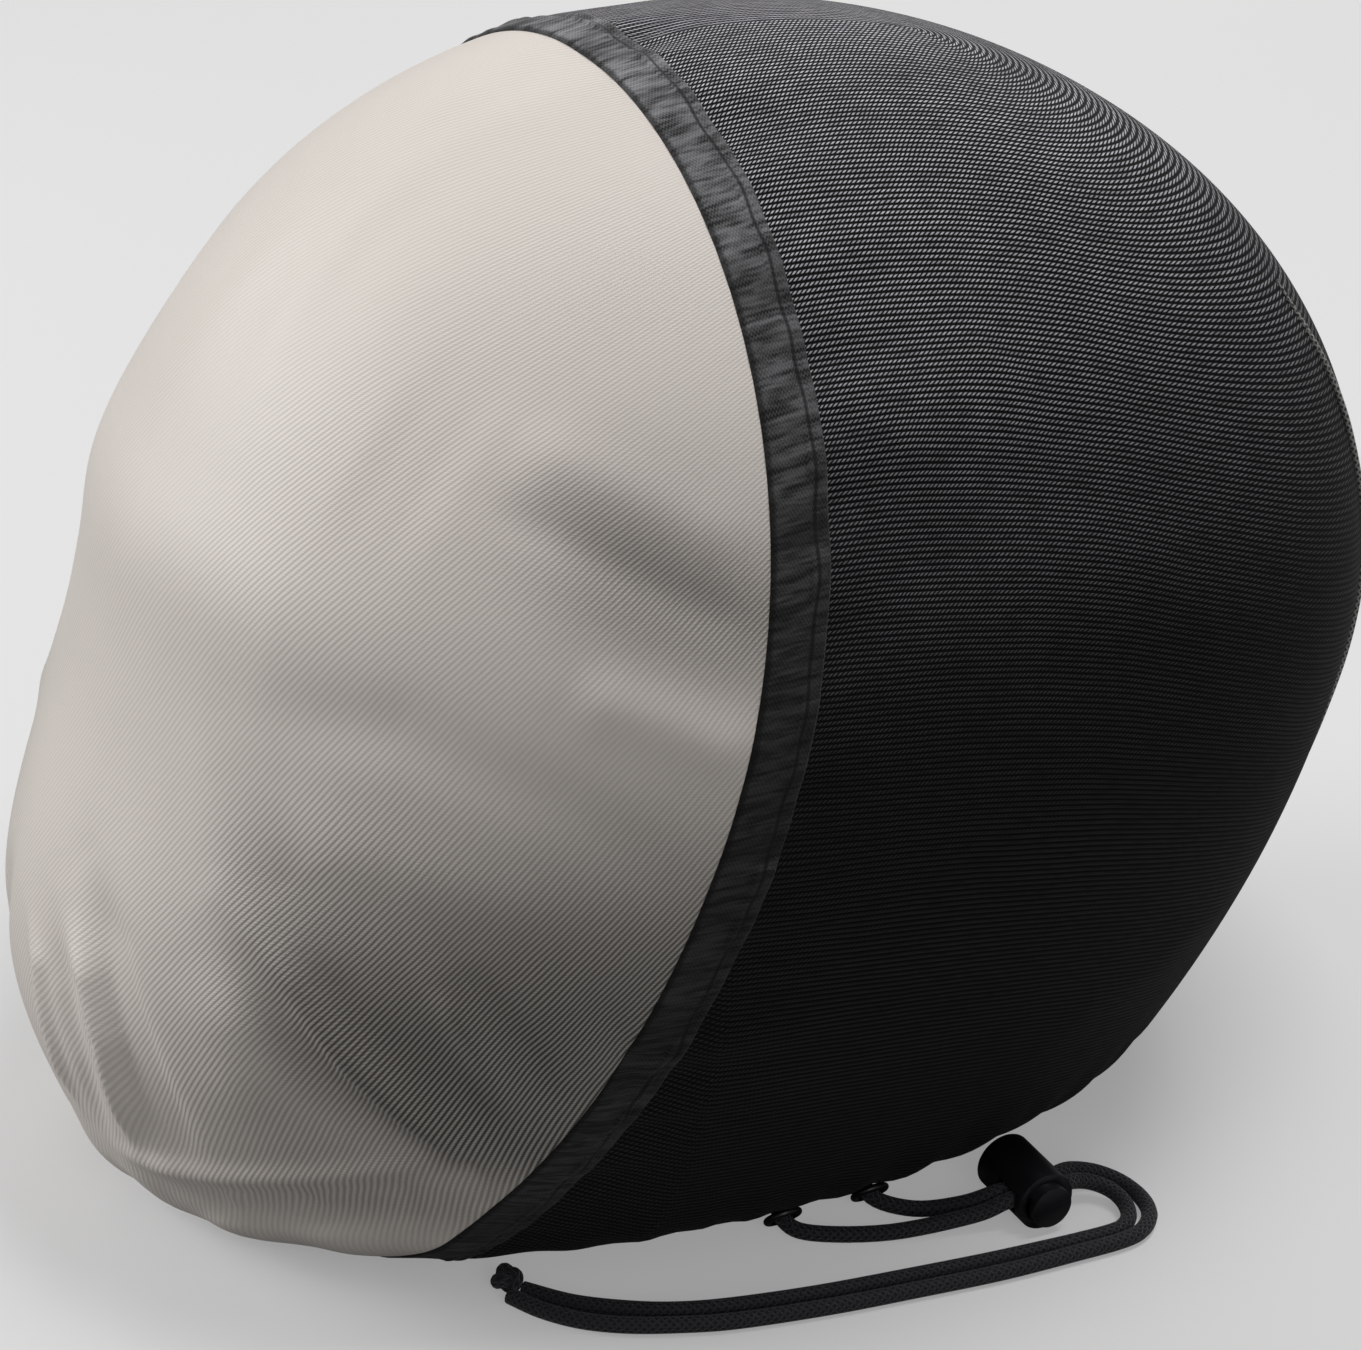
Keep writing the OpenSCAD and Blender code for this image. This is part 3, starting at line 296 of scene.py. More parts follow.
# %% A class for finishes
class Finish:
    def __init__(self, name, **constant):
        self.material = bpy.data.materials.new(name)
        self.material.use_nodes = True
        self.tree = self.material.node_tree
        self.shader = next(n for n in self.tree.nodes if n.type == "BSDF_PRINCIPLED")
        for socket, value in constant.items():
            self.shader.inputs[socket.replace("_", " ")].default_value = value

    def add(self, kind, settings=None, values=None, out=0):
        node = self.tree.nodes.new(kind)
        for key, value in (settings or {}).items():
            setattr(node, key, value)
        for key, value in (values or {}).items():
            if isinstance(value, Wire):
                self.tree.links.new(value.socket, node.inputs[key])
            else:
                node.inputs[key].default_value = value
        return Wire(self, node.outputs[out])

    def place(self, source="weave"):
        """u, v and w: cloth coordinates in mm from the UV map, or the object's own place in mm."""
        if source == "object":
            vector = self.add("ShaderNodeTexCoord", out="Object")
        else:
            vector = self.add("ShaderNodeUVMap", {"uv_map": source})
        split = self.add("ShaderNodeSeparateXYZ", values={0: vector})
        k = 1000 if source == "object" else 1
        return [Wire(self, split.socket.node.outputs[i]) * k for i in range(3)]

    def attribute(self, name):
        """A number that each point of the mesh carries."""
        return self.add("ShaderNodeAttribute", {"attribute_name": name}, out="Fac")

    def noise(self, u, v, w, size, detail=2.0, rough=0.5):
        vector = self.add("ShaderNodeCombineXYZ", values={0: u, 1: v, 2: w})
        values = {"Vector": vector, "Scale": 1 / size, "Detail": detail, "Roughness": rough}
        return self.add("ShaderNodeTexNoise", values=values, out="Fac")

    def blend(self, share, a, b, how="MIX"):
        settings = {"data_type": "RGBA", "blend_type": how}
        return self.add("ShaderNodeMix", settings, {0: share, 6: a, 7: b}, out=2)

    def set(self, **values):
        for key, value in values.items():
            self.tree.links.new(value.socket, self.shader.inputs[key.replace("_", " ")])

    def bump(self, height, depth):
        """height is from 0 to 1 and depth in mm."""
        values = {"Height": height, "Distance": depth / 1000, "Strength": 1.0}
        self.set(Normal=self.add("ShaderNodeBump", values=values, out="Normal"))

def grey(value, tint=(1, 1, 1)):
    return (value * tint[0], value * tint[1], value * tint[2], 1)

print("mid grey as a colour:", grey(0.18))

# %% [markdown]
# ## Knitted cloth
# The bag is a thin warp knit. On the black panel, rows 1.4 mm apart run from front to back,
# and each row is a line of short slanted stitches that catch the light. The grey panel shows fine
# diagonal ribs. An image could hold this, but sums of the cloth's own coordinates stay sharp from
# any side and follow the cloth over the crown.

# %% Finishes for the bag
def black_knit(name, row=1.4, stitch=1.15, slant=-1.5, light=0.66, dark=0.003, depth=0.3):
    cloth = Finish(name, Sheen_Weight=0.03, Sheen_Roughness=0.4, Specular_IOR_Level=0.08)
    u, v, _ = cloth.place()
    open_and_shade = cloth.attribute("stretch_and_shade")
    wander = cloth.noise(u, v, 0, 30, 2) - 0.5
    line = v / row + wander * 0.6
    inside = line.frac()
    hill = (inside - 0.5).abs()
    stitches = (u / stitch + inside * slant + wander * 3).wave()
    broken = cloth.noise(u * 0.35, line.floor() * 3.7, 0, 2.2, 3).band(0.30, 0.60) * 0.4 + 0.6
    rope = 1 - hill.band(0.14, 0.36)
    thread = rope * stitches.band(0.25, 0.7) * broken
    patch = cloth.noise(u * 0.7, v * 1.6, 4, 48, 3).band(0.3, 0.72)
    # Painted light: the threads are lighter towards the lit crown and darker towards the foot.
    painted_sheen = ((1 - open_and_shade) ** 1.5 * 0.96 + 0.04) * (patch * 0.3 + 0.8)
    cloth.set(Base_Color=cloth.blend(thread * painted_sheen, grey(dark), grey(light, (1.0, 0.98, 1.05))),
              Roughness=0.72 - thread * 0.28)
    cloth.bump(rope * 0.65 + thread * 0.35, depth)
    return cloth.material

def band_knit(name):
    """The folded strip: rippled across by its stitching, dark along both stitch lines."""
    cloth = Finish(name, Sheen_Weight=0.06, Sheen_Roughness=0.4, Specular_IOR_Level=0.15)
    u, v, _ = cloth.place()
    open_and_shade = cloth.attribute("stretch_and_shade")
    ripple = cloth.noise(u * 0.16, v, 0, 1.5, 3, 0.6).band(0.34, 0.66)
    pucker = cloth.noise(u * 0.08, v, 3, 8, 2).band(0.3, 0.7)
    loops = (v / 0.9 + (u / 0.75).wave() * 0.5).wave()
    wavy = cloth.noise(0, v, 6, 9, 1) * 1.6
    seam = (u - 50.2 + wavy * 0.5).abs().band(0.2, 0.75)
    edge = (u - 40.4).band(0.0, 0.9) * 0.7 + 0.3
    thread = (ripple * 0.65 + loops * 0.35) * (pucker * 0.55 + 0.45) * (seam * 0.75 + 0.25) * edge
    # Painted light: the band's threads are lighter towards the lit crown and darker towards the foot.
    painted_sheen = (1 - open_and_shade) ** 2.6 * 0.84 + 0.16
    cloth.set(Base_Color=cloth.blend(thread * painted_sheen, grey(0.006), grey(0.29, (0.99, 0.99, 1.03))),
              Roughness=0.74 - thread * 0.25)
    cloth.bump(ripple * 0.5 + seam * 0.3 + loops * 0.2, 0.35)
    return cloth.material

def grey_knit(name, row=1.27):
    cloth = Finish(name, Sheen_Weight=0.1, Sheen_Roughness=0.4, Specular_IOR_Level=0.35)
    u, v, _ = cloth.place()
    open_and_shade = cloth.attribute("stretch_and_shade")
    wander = cloth.noise(u, v, 0, 34, 2) - 0.5
    rib = (u * 0.87 + v * 0.50) / row + wander * 1.6
    along = v * 0.87 - u * 0.50
    inside = rib.frac()
    rope = 1 - (inside - 0.5).abs().band(0.12, 0.42)
    hook = (along / 0.72 + inside * 1.4 + wander * 3).wave()
    fleck = cloth.noise(u, v, 2, 0.9, 2)
    patch = cloth.noise(u, v, 7, 60, 3).band(0.25, 0.75)
    # The ribs' contrast grows where the knit is pulled open and where shade is painted.
    strong = open_and_shade * 0.80 + patch * 0.10 + 0.10
    light = 1 - (1 - rope * (hook.band(0.1, 0.7) * 0.45 + 0.55)) * strong
    base = cloth.blend(light, grey(0.07, (1.02, 0.97, 0.9)), grey(0.72, (1.035, 0.955, 0.885)))
    # Painted shade: darker where the knit is open, partly the dark shell showing, partly shade low on the
    # sides.
    see_through_and_shade = cloth.blend(open_and_shade, grey(1), grey(0.58, (0.98, 1, 0.98)))
    cloth.set(Base_Color=cloth.blend(1.0, base, see_through_and_shade, "MULTIPLY"),
              Roughness=0.66 - light * 0.2 + (fleck - 0.5) * 0.1)
    cloth.bump((rope * 0.7 + hook * rope * 0.3) * (open_and_shade * 0.82 + 0.18), 0.32)
    return cloth.material

BLACK = black_knit("black_knit_cloth")
BAND = band_knit("black_seam_cloth")
GREY = grey_knit("grey_knit_cloth")
print("cloth finishes:", BLACK.name, BAND.name, GREY.name)

# %% Finishes for cords and small parts
def braid(name, dark=(0.0035, 0.0035, 0.006, 1), pale=(0.015, 0.015, 0.021, 1)):
    cord = Finish(name, Roughness=0.6, Sheen_Weight=0.2, Specular_IOR_Level=0.3)
    u, v, _ = cord.place()
    left, right = (u / 1.57 + v / 1.9).wave(), (u / 1.57 - v / 1.9).wave()
    weave = left.at_least(right).band(0.45, 0.95)
    cord.set(Base_Color=cord.blend(weave, dark, pale), Roughness=0.75 - weave * 0.2)
    cord.bump(weave, 0.3)
    return cord.material

def plain(name, colour, rough, fine=0.35, depth=0.02, spread=0.15, **constant):
    """A moulded or coated surface: a fine grain, a little wear in the colour and the gloss."""
    skin = Finish(name, **constant)
    u, v, w = skin.place("object")
    grain, cloud = skin.noise(u, v, w, fine, 2), skin.noise(u, v, w, 14, 4)
    dark = tuple(c * (1 - spread) for c in colour[:3]) + (1,)
    pale = tuple(min(1, c * (1 + spread)) for c in colour[:3]) + (1,)
    skin.set(Base_Color=skin.blend(cloud.band(0.3, 0.7), dark, pale),
             Roughness=(cloud - 0.5) * 0.12 + (grain - 0.5) * 0.08 + rough)
    skin.bump(grain, depth)
    return skin.material

CORD = braid("black_braid")
LOCK = plain("lock_plastic", (0.006, 0.006, 0.008), 0.38, 0.5, 0.03)
EYELET = plain("eyelet_metal", (0.05, 0.05, 0.055), 0.35, 0.4, 0.01, Metallic=0.9)
STEEL = plain("brushed_steel", (0.55, 0.55, 0.57), 0.32, 0.2, 0.01, Metallic=1.0)

# %% [markdown]
# ## Drawcord
# One round cord, 4 mm thick, runs in the hem, comes out through two eyelets on the wearer's left,
# passes the spring lock and ends in a knot. It lies on the floor as in the photo, and its turn
# behind the lock is guessed. Each free stretch is a tube round a smooth curve through the CAD's own
# points, because a limp cord that lies still needs no simulation.

# %% Where the cord leaves the hem
CORD_R = 2.0
EXIT_Z, EXIT_TURN = 5.8, math.radians(130)
EXIT_X = float(half_w(np.array(EXIT_Z), 0)) - 1
EXIT_DIR = np.array([math.sin(EXIT_TURN), 0, math.cos(EXIT_TURN)])
exits = [np.array([EXIT_X, y, EXIT_Z]) for y in (-12, 12)]
print("the cord comes out", round(EXIT_X, 1), "mm from the middle")

# %% A smooth curve and a round tube
def smooth(points, n=6):
    """A curve through the points, n steps between each two."""
    p = np.asarray(points, float)
    p = np.vstack([p[:1], p, p[-1:]])
    out = []
    for a, b, c, d in zip(p, p[1:], p[2:], p[3:]):
        for s in np.arange(n) / n:
            out.append(0.5 * (2 * b + (c - a) * s + (2 * a - 5 * b + 4 * c - d) * s * s
                              + (3 * b - a - 3 * c + d) * s ** 3))
    return np.array(out + [p[-1]])

def tube(name, path, radius, sides=14):
    """A round tube along a path in mm, with a UV map in mm round and along it."""
    path = np.asarray(path, float)
    radius = np.broadcast_to(np.asarray(radius, float), (len(path),))
    step = np.gradient(path, axis=0)
    step /= np.linalg.norm(step, axis=1)[:, None]
    side = np.cross(step[0], [0.02, 0.03, 1.0])
    run = along(path)
    verts, uvs = [], []
    for k, (p, t) in enumerate(zip(path, step)):
        side = side - t * side.dot(t)
        side /= np.linalg.norm(side)
        other = np.cross(t, side)
        for i in range(sides + 1):
            a = 2 * math.pi * i / sides
            uvs.append((i / sides * 2 * math.pi * radius[k], run[k]))
            if i < sides:
                verts.append(p + radius[k] * (math.cos(a) * side + math.sin(a) * other))
    m, faces, loops = len(path), [], []
    for k in range(m - 1):
        for i in range(sides):
            j = (i + 1) % sides
            faces.append((k * sides + i, k * sides + j, (k + 1) * sides + j, (k + 1) * sides + i))
            q = [(k, i), (k, i + 1), (k + 1, i + 1), (k + 1, i)]
            loops += [uvs[a * (sides + 1) + b] for a, b in q]
    faces.append(tuple(range(sides - 1, -1, -1)))
    faces.append(tuple((m - 1) * sides + i for i in range(sides)))
    loops += [(0, 0)] * (2 * sides)
    mesh = bpy.data.meshes.new(name)
    mesh.from_pydata(metres(verts).tolist(), [], faces)
    layer = mesh.uv_layers.new(name="weave")
    layer.data.foreach_set("uv", np.array(loops, np.float32).ravel())
    obj = bpy.data.objects.new(name, mesh)
    bpy.context.scene.collection.objects.link(obj)
    activate(obj)
    bpy.ops.object.shade_smooth_by_angle(angle=math.radians(50))
    return obj

def length(path):
    return float(np.linalg.norm(np.diff(path, axis=0), axis=1).sum())

print("eyelets are", round(length(exits)), "mm apart")

# %% Cords
starts = [[e - 4 * EXIT_DIR, e + 3.4 * EXIT_DIR] for e in exits]
short_a = smooth(starts[0] + [(91.5, -7, 2), (99, 10, 2), (104, 30, 4.2), (106, 38, 7.2),
                              (106.2, 45.6, 7.5)])
short_b = smooth(starts[1] + [(93, 20, 2), (98.5, 30, 4), (101.8, 38, 7.2), (102, 45.6, 7.5)])
long_a = smooth([(102, 46.4, 7.5), (101.7, 53, 7.4), (99.8, 59.6, 6.1), (101.1, 66.2, 4.4), (106, 71, 3),
                 (112.6, 72.6, 2.1), (119.2, 70.6, 2), (123.8, 65.4, 2), (125.3, 58.6, 2), (125, 46, 2),
                 (124, 26, 2), (121.4, 4, 2), (118.4, -18, 2), (114, -40, 2), (109.6, -53, 2),
                 (104.6, -64, 2), (98.6, -72.6, 2), (91.2, -79, 2), (83.2, -83.2, 2)])
long_b = smooth([(106.2, 46.4, 7.5), (105.8, 52.6, 7.4), (104.4, 58.2, 6.1), (105.3, 62.8, 4.9),
                 (108.5, 66.1, 3.8), (112.8, 67.2, 2.8), (117.1, 66, 2.1), (120.2, 62.8, 2),
                 (121.3, 58.4, 2), (121, 50, 2), (120.2, 40, 2), (118.6, 24, 2), (116, 4, 2),
                 (112.8, -18, 2), (108.6, -38, 2), (104.8, -50, 2), (99.8, -60, 2), (92, -71, 2),
                 (82.4, -79.4, 2)])
cords = {}
for name, path, end in (("cord_short_front", short_a, "object"), ("cord_short_back", short_b, "object"),
                        ("cord_long_outer", long_a, "knot"), ("cord_long_inner", long_b, "knot")):
    cord = adopt(tube(name, path, CORD_R), name, CORD, "cloth_bag")
    cords[name] = (cord, path, end)
    print(name, round(length(path)), "mm, triangles", tris(cord))

# %% [markdown]
# ## The cloth's own coordinates
# A pattern has to run with the cloth, not through the air. On the black panel u follows the bag
# from front to back and v goes up the side and over the crown. On the grey panel the map is spread
# out from the middle of the face: u is the way round from it and v the way up, so that it has no
# pole anywhere on the panel.

# %% Cloth coordinates of the black panel
def black_map(p):
    """Rows leave the band square to it and dip towards the nape, and run back over the crown."""
    x, y, z = p[:, 0], p[:, 1], p[:, 2]
    q = np.clip(y, -50, 110)
    height = z - PIVOT + 0.16 * q + 0.0017 * q * q + 0.5 * (y - q)
    wide = np.hypot(x, np.maximum(0, y - 55))
    over = height > 0
    u = 140 * np.arctan2(y, np.maximum(np.where(over, np.hypot(wide, height), wide), 1e-3))
    v = np.where(over, 135 * np.arctan2(height, np.maximum(wide, 1e-3)), height)
    return u, v + 180

print("the nape is at u, v =", [round(float(c[0])) for c in black_map(np.array([[1, 170, 100]]))])

# %% Cloth coordinates of the grey panel
TURNS = np.linspace(0, 100, 101)
LEVELS = np.concatenate([np.linspace(0, 250, 101), [256, 261, 265, 268, 270.5, 272, 272.9]])
ROUND = np.array([along(cloth_form(z, TURNS)) for z in LEVELS])

def grey_map(p):
    """u: the way round from the middle of the face; v: up the side and over the dome."""
    z = np.clip(p[:, 2], 0, LEVELS[-1])
    lean = np.abs(p[:, 0]) * cloth_front(z) / np.maximum(np.maximum(-p[:, 1], 0.5) * half_w(z, 0), 1e-3)
    t = np.degrees(np.arctan(lean ** (SQUARE / 2)))
    k = np.clip(np.searchsorted(LEVELS, z) - 1, 0, len(LEVELS) - 2)
    share = (z - LEVELS[k]) / (LEVELS[k + 1] - LEVELS[k])
    at = np.clip(t, 0, 99.999)
    i, f = at.astype(int), at - at.astype(int)
    row = [ROUND[q, i] * (1 - f) + ROUND[q, i + 1] * f for q in (k, k + 1)]
    way = row[0] * (1 - share) + row[1] * share
    u = 150 - np.sign(p[:, 0]) * way
    v = np.where(z < PIVOT, z, PIVOT + DOME_R * np.arcsin(np.clip((z - PIVOT) / DOME_R, 0, 1)))
    return u, v

print("the map reaches", round(float(ROUND.max())), "mm round from the middle of the face")

# %% How far the knit is pulled open, and where shade is painted
def ramp(x, low, high):
    s = np.clip((x - low) / (high - low), 0, 1)
    return s * s * (3 - 2 * s)

def grey_pull_and_shade(p):
    """Low on the sides the knit is pulled wide open, and the dark shell shows between its ribs.
    The same darkening there is also painted shade, where less light falls.
    """
    x, z = np.abs(p[:, 0]), p[:, 2]
    low = (1 - ramp(z + 0.3 * (110 - x), 88, 168)) * ramp(z, 14, 34)
    band = np.exp(-((z - 207 + 0.82 * (x - 86)) / 12) ** 2) * ramp(x, 74, 102)
    low *= (0.12 + 0.88 * ramp(x, 20, 85)) * (0.45 + 0.55 * ramp(x + 0.6 * z, 114, 132))
    return np.maximum(low, 0.55 * band)

# Painted shade of the black panel, its band and its hem: 1 at the foot, darkest, down to 0 at the lit
# crown.
def black_painted_shade(p):
    return 1 - ramp(p[:, 2], 134, 275)

# The value printed is the painted shade at the foot of the black panel.
print("open at the foot of the black panel:", black_painted_shade(np.zeros((1, 3)))[0])

# %% [markdown]
# ## Folds
# Stretch cloth bridges hollows and draws into lines where it is pulled. Each fold here is a line of
# points on the form with a width and a height. A cloth simulation would find folds of its own, but
# not the ones in the photo, so the strokes are listed one by one and eased out at both ends.

# %% How a stroke lifts the cloth
def stroke(p, points, width, height, ease=0.25):
    """How far a fold lifts the points p: a soft ridge, or a valley where height is below 0."""
    points = np.asarray(points, float)
    run = along(points)
    best, where = np.full(len(p), 1e9), np.zeros(len(p))
    for a, b, s0, s1 in zip(points, points[1:], run, run[1:]):
        d = b - a
        k = np.clip(((p - a) @ d) / d.dot(d), 0, 1)
        gap = np.linalg.norm(p - a - k[:, None] * d, axis=1)
        near = gap < best
        best[near], where[near] = gap[near], (s0 + k * (s1 - s0))[near]
    s = where / run[-1]
    ends = np.clip(np.minimum(s, 1 - s) / ease, 0, 1)
    return height * np.exp(-(best / width) ** 2) * (0.15 + 0.85 * np.sin(ends * math.pi / 2) ** 2)

print("the top of a fold 2 mm high:", stroke(np.zeros((1, 3)), [(-9, 0, 0), (9, 0, 0)], 5, 2)[0], "mm")

# %% The strokes: points, width and height in mm, and the share that fades at each end
MIDDLE_FOLDS = [
    ([(-88, -84, 168), (-48, -122, 168), (0, -136, 168), (48, -122, 168), (88, -84, 168)], 17, 2.6, 0.3),
    ([(13, -156, 99), (30, -158, 85), (41, -159, 68), (46, -155, 51), (48, -148, 34)], 6.2, -4.6, 0.3),
    ([(8, -160, 88), (26, -162, 77), (34, -162, 64), (36, -160, 49), (33, -155, 31)], 3.2, 3.8, 0.3),
    ([(6, -165, 84), (18, -166, 70), (24, -165, 52), (22, -158, 28)], 3.8, -2.0, 0.3),
    ([(-7, -164, 79), (5, -166, 70), (11, -167, 52), (12, -161, 32)], 2.6, 2.6, 0.3),
    ([(-26, -158, 84), (-30, -160, 60), (-26, -154, 32)], 6.0, -3.2, 0.3),
    ([(58, -146, 98), (66, -144, 78), (70, -137, 52)], 12, 2.4, 0.4),
]
SIDE_FOLDS = [
    ([(-45, -98, 205), (-72, -88, 200)], 20, -1.0, 0.4),
    ([(13, -29, 269), (6, -68, 256), (7, -89, 242), (12, -108, 221), (22, -122, 200)], 8, 0.8, 0.3),
    ([(37, -135, 150), (42, -136, 130), (55, -139, 110), (68, -134, 102), (78, -128, 93),
      (88, -119, 78), (93, -105, 58)], 9, 1.2, 0.3),
    ([(60, -127, 137), (68, -129, 117), (79, -123, 108), (88, -116, 98), (97, -106, 84),
      (101, -93, 67)], 8, -2.2, 0.3),
    ([(84, -112, 43), (80, -108, 22)], 3, -1.8),
    ([(93, -101, 51), (90, -92, 30)], 3.2, -1.8),
    ([(70, -130, 36), (66, -124, 18)], 3, -1.6),
    ([(56, -141, 32), (52, -138, 16)], 2.6, 1.5),
    ([(118, -19, 186), (114, 5, 196), (107, 34, 206), (99, 57, 211)], 12, -1.8),
    ([(107, -12, 208), (100, 9, 220), (91, 29, 229)], 11, 1.6),
    ([(55, -139, 110), (74, -131, 96), (85, -123, 79), (92, -109, 62), (95, -92, 45)], 4.2, 3.2, 0.3),
    ([(69, -133, 103), (80, -126, 95), (94, -109, 75), (98, -94, 58)], 5.5, -2.8),
    ([(55, -142, 100), (72, -135, 87), (82, -126, 70), (88, -114, 57), (91, -100, 44)], 4.6, -2.2),
    ([(97, -103, 108), (104, -91, 82), (104, -84, 65)], 5, -2.2),
    ([(94, -109, 101), (101, -98, 76), (101, -90, 61)], 4, 2.0),
    ([(110, -78, 100), (112, -70, 80), (108, -66, 58)], 4, -1.6),
    ([(20, -158, 26), (47, -148, 32), (67, -134, 39), (86, -113, 48), (95, -98, 54)], 3.8, 2.6),
    ([(20, -150, 14), (46, -142, 19), (68, -124, 26), (84, -104, 34)], 6, -2.4),
    ([(76, -91, 205), (99, -69, 194), (116, -42, 180)], 5, -1.1),
    ([(72, -84, 216), (92, -66, 209), (110, -40, 196)], 7, 1.1),
    ([(101, -83, 170), (112, -65, 164), (121, -44, 154)], 7, 1.8),
    ([(47, -132, 152), (81, -111, 156), (105, -85, 145), (119, -58, 124)], 8, -1.5),
    ([(60, -140, 128), (90, -118, 128), (112, -76, 118)], 9, 1.4),
    ([(126, 8, 168), (126, 40, 160), (122, 78, 150)], 9, -1.4),
    ([(124, 6, 190), (122, 40, 184), (116, 72, 176)], 8, 1.2),
    ([(108, 30, 60), (98, 78, 66), (78, 112, 76)], 10, 1.2),
]
FOLDS = list(MIDDLE_FOLDS)
for points, *shape in SIDE_FOLDS:
    FOLDS += [(points, *shape), ([(-x, y, z) for x, y, z in points], *shape)]
print("folds laid:", len(FOLDS))

# %% Gathers at the hem, tugs at the band, and all of it together
BAND_W = 13.0
SINK, SLACK_SINK = 2.05, 0.7    # how deep a fold may go, and how much more where the cloth hangs free

def gathers(p):
    """Short folds that spread upwards from the drawn hem."""
    run = 118 * np.arctan2(p[:, 0], -p[:, 1] + 5)
    fade = np.clip((46 - p[:, 2]) / 40, 0, 1) ** 2
    wave = np.sin(run / 2.9 + 1.7 * np.sin(run / 23)) + 0.6 * np.sin(run / 5.3 + 2 * np.sin(run / 31))
    return 0.85 * wave * fade

def tugs(p):
    """Little creases that run back from the stitching of the band."""
    gap = p[:, 1] - seam_y(p[:, 2]) - BAND_W
    run = 130 * np.arctan2(p[:, 2] - 60, np.abs(p[:, 0]) + 1)
    reach = np.exp(-(np.maximum(gap, 0) / (18 + 8 * np.sin(run / 19))) ** 2) * (gap > -4)
    crease = 0.75 * np.sin(run / 4.1 + 1.6 * np.sin(run / 17))
    return (crease + 0.35 * np.sin(run / 1.9 + 2 * np.sin(run / 11))) * reach

def outward(p):
    d = np.stack([p[:, 0], p[:, 1] - 10, np.maximum(p[:, 2] - PIVOT, 0)], axis=1)
    return d / np.maximum(np.linalg.norm(d, axis=1), 1e-6)[:, None]

def folded(p):
    lift = gathers(p) + tugs(p)
    for fold in FOLDS:
        lift += stroke(p, *fold)
    spare = (cloth_front(p[:, 2]) - front_w(p[:, 2], 0)) * np.clip(-p[:, 1] / 150, 0, 1)
    low = -SINK - SLACK_SINK * spare
    lift = low + np.log1p(np.exp(np.clip((lift - low) * 2.5, -40, 40))) / 2.5
    lift *= np.clip(p[:, 2] / 9, 0, 1)
    return p + outward(p) * lift[:, None]

print("the chin is lifted by", np.round(folded(np.array([[0.0, -150, 60]])) - [0, -150, 60], 2))

# %% [markdown]
# ## Bag panels
# The bag is a grey front panel and a black rear panel joined by a doubled band. Both are made as
# fine grids laid on the form and given the cloth's wall. The panels run a little way under the
# band, so that no light shows between them.

# %% Front and rear panels
UNDER, WALL = 3.0, 0.9    # mm of panel under the band, and the cloth's wall

def heights(v, top):
    """Heights from the floor to top: even steps up the side, then even steps over the dome."""
    arc = DOME_R * math.asin((top - PIVOT) / DOME_R)
    run = v * (PIVOT + arc)
    return np.where(run < PIVOT, run, PIVOT + DOME_R * np.sin(np.clip(run - PIVOT, 0, None) / DOME_R))

def front_place(u, v):
    crest = PIVOT + math.sqrt(DOME_R ** 2 - (SEAM_Y + UNDER) ** 2)
    z = heights(v, crest - 0.1)
    e = turn_at(seam_y(z) + UNDER, cloth_front(z))
    return folded(cloth_form(z, -e + 2 * e * u))

def rear_place(u, v):
    z = heights(v, TOP)
    crest = PIVOT + math.sqrt(DOME_R ** 2 - (SEAM_Y + BAND_W - UNDER) ** 2)
    e = np.where(z < crest, turn_at(seam_y(z) + BAND_W - UNDER, cloth_front(z)), 0)
    return folded(cloth_form(np.minimum(z, TOP - 1e-4), e + (360 - 2 * e) * u))

def bag_cloth(name, grid, place, wall, lie, open_and_shade, material, node):
    """A piece of the bag: laid on the form, with its cloth coordinates, its pull and its painted shade.
    """
    piece = sheet_of(name, *grid, place, wall)
    lay_uv(piece, lie)
    mark(piece, "stretch_and_shade", open_and_shade)
    print(name, tris(piece), "triangles")
    return adopt(piece, name, material, "cloth_bag", [node])

front_panel = bag_cloth("front_panel_cloth", (210, 210), front_place, WALL, grey_map, grey_pull_and_shade,
                        GREY, "bag_front_panel")
rear_panel = bag_cloth("rear_panel_cloth", (250, 180), rear_place, WALL, black_map, black_painted_shade,
                       BLACK, "bag_rear_panel")

# %% [markdown]
# ## Seam band
# The band is a folded strip over the joint, stitched along both edges, and the stitches pucker it.
# It stands a little proud of the panels and its long edges curl down onto them. The puckers are
# ripples along the strip that fade towards its middle.

# %% The line of the seam
def seam_line():
    """The band's front edge, from the left foot over the crown to the right one."""
    low, crest = 200, 269.85
    dome = low + (crest - low) * np.sin(np.linspace(0, math.pi / 2, 130))[1:]
    z = np.concatenate([np.linspace(0.4, low, 170), dome])
    left = cloth_form(z, turn_at(seam_y(z), cloth_front(z)))
    left[-1, 0] = 0
    return np.vstack([left, (left[:-1] * [-1, 1, 1])[::-1]])

print("seam:", round(length(seam_line())), "mm long")

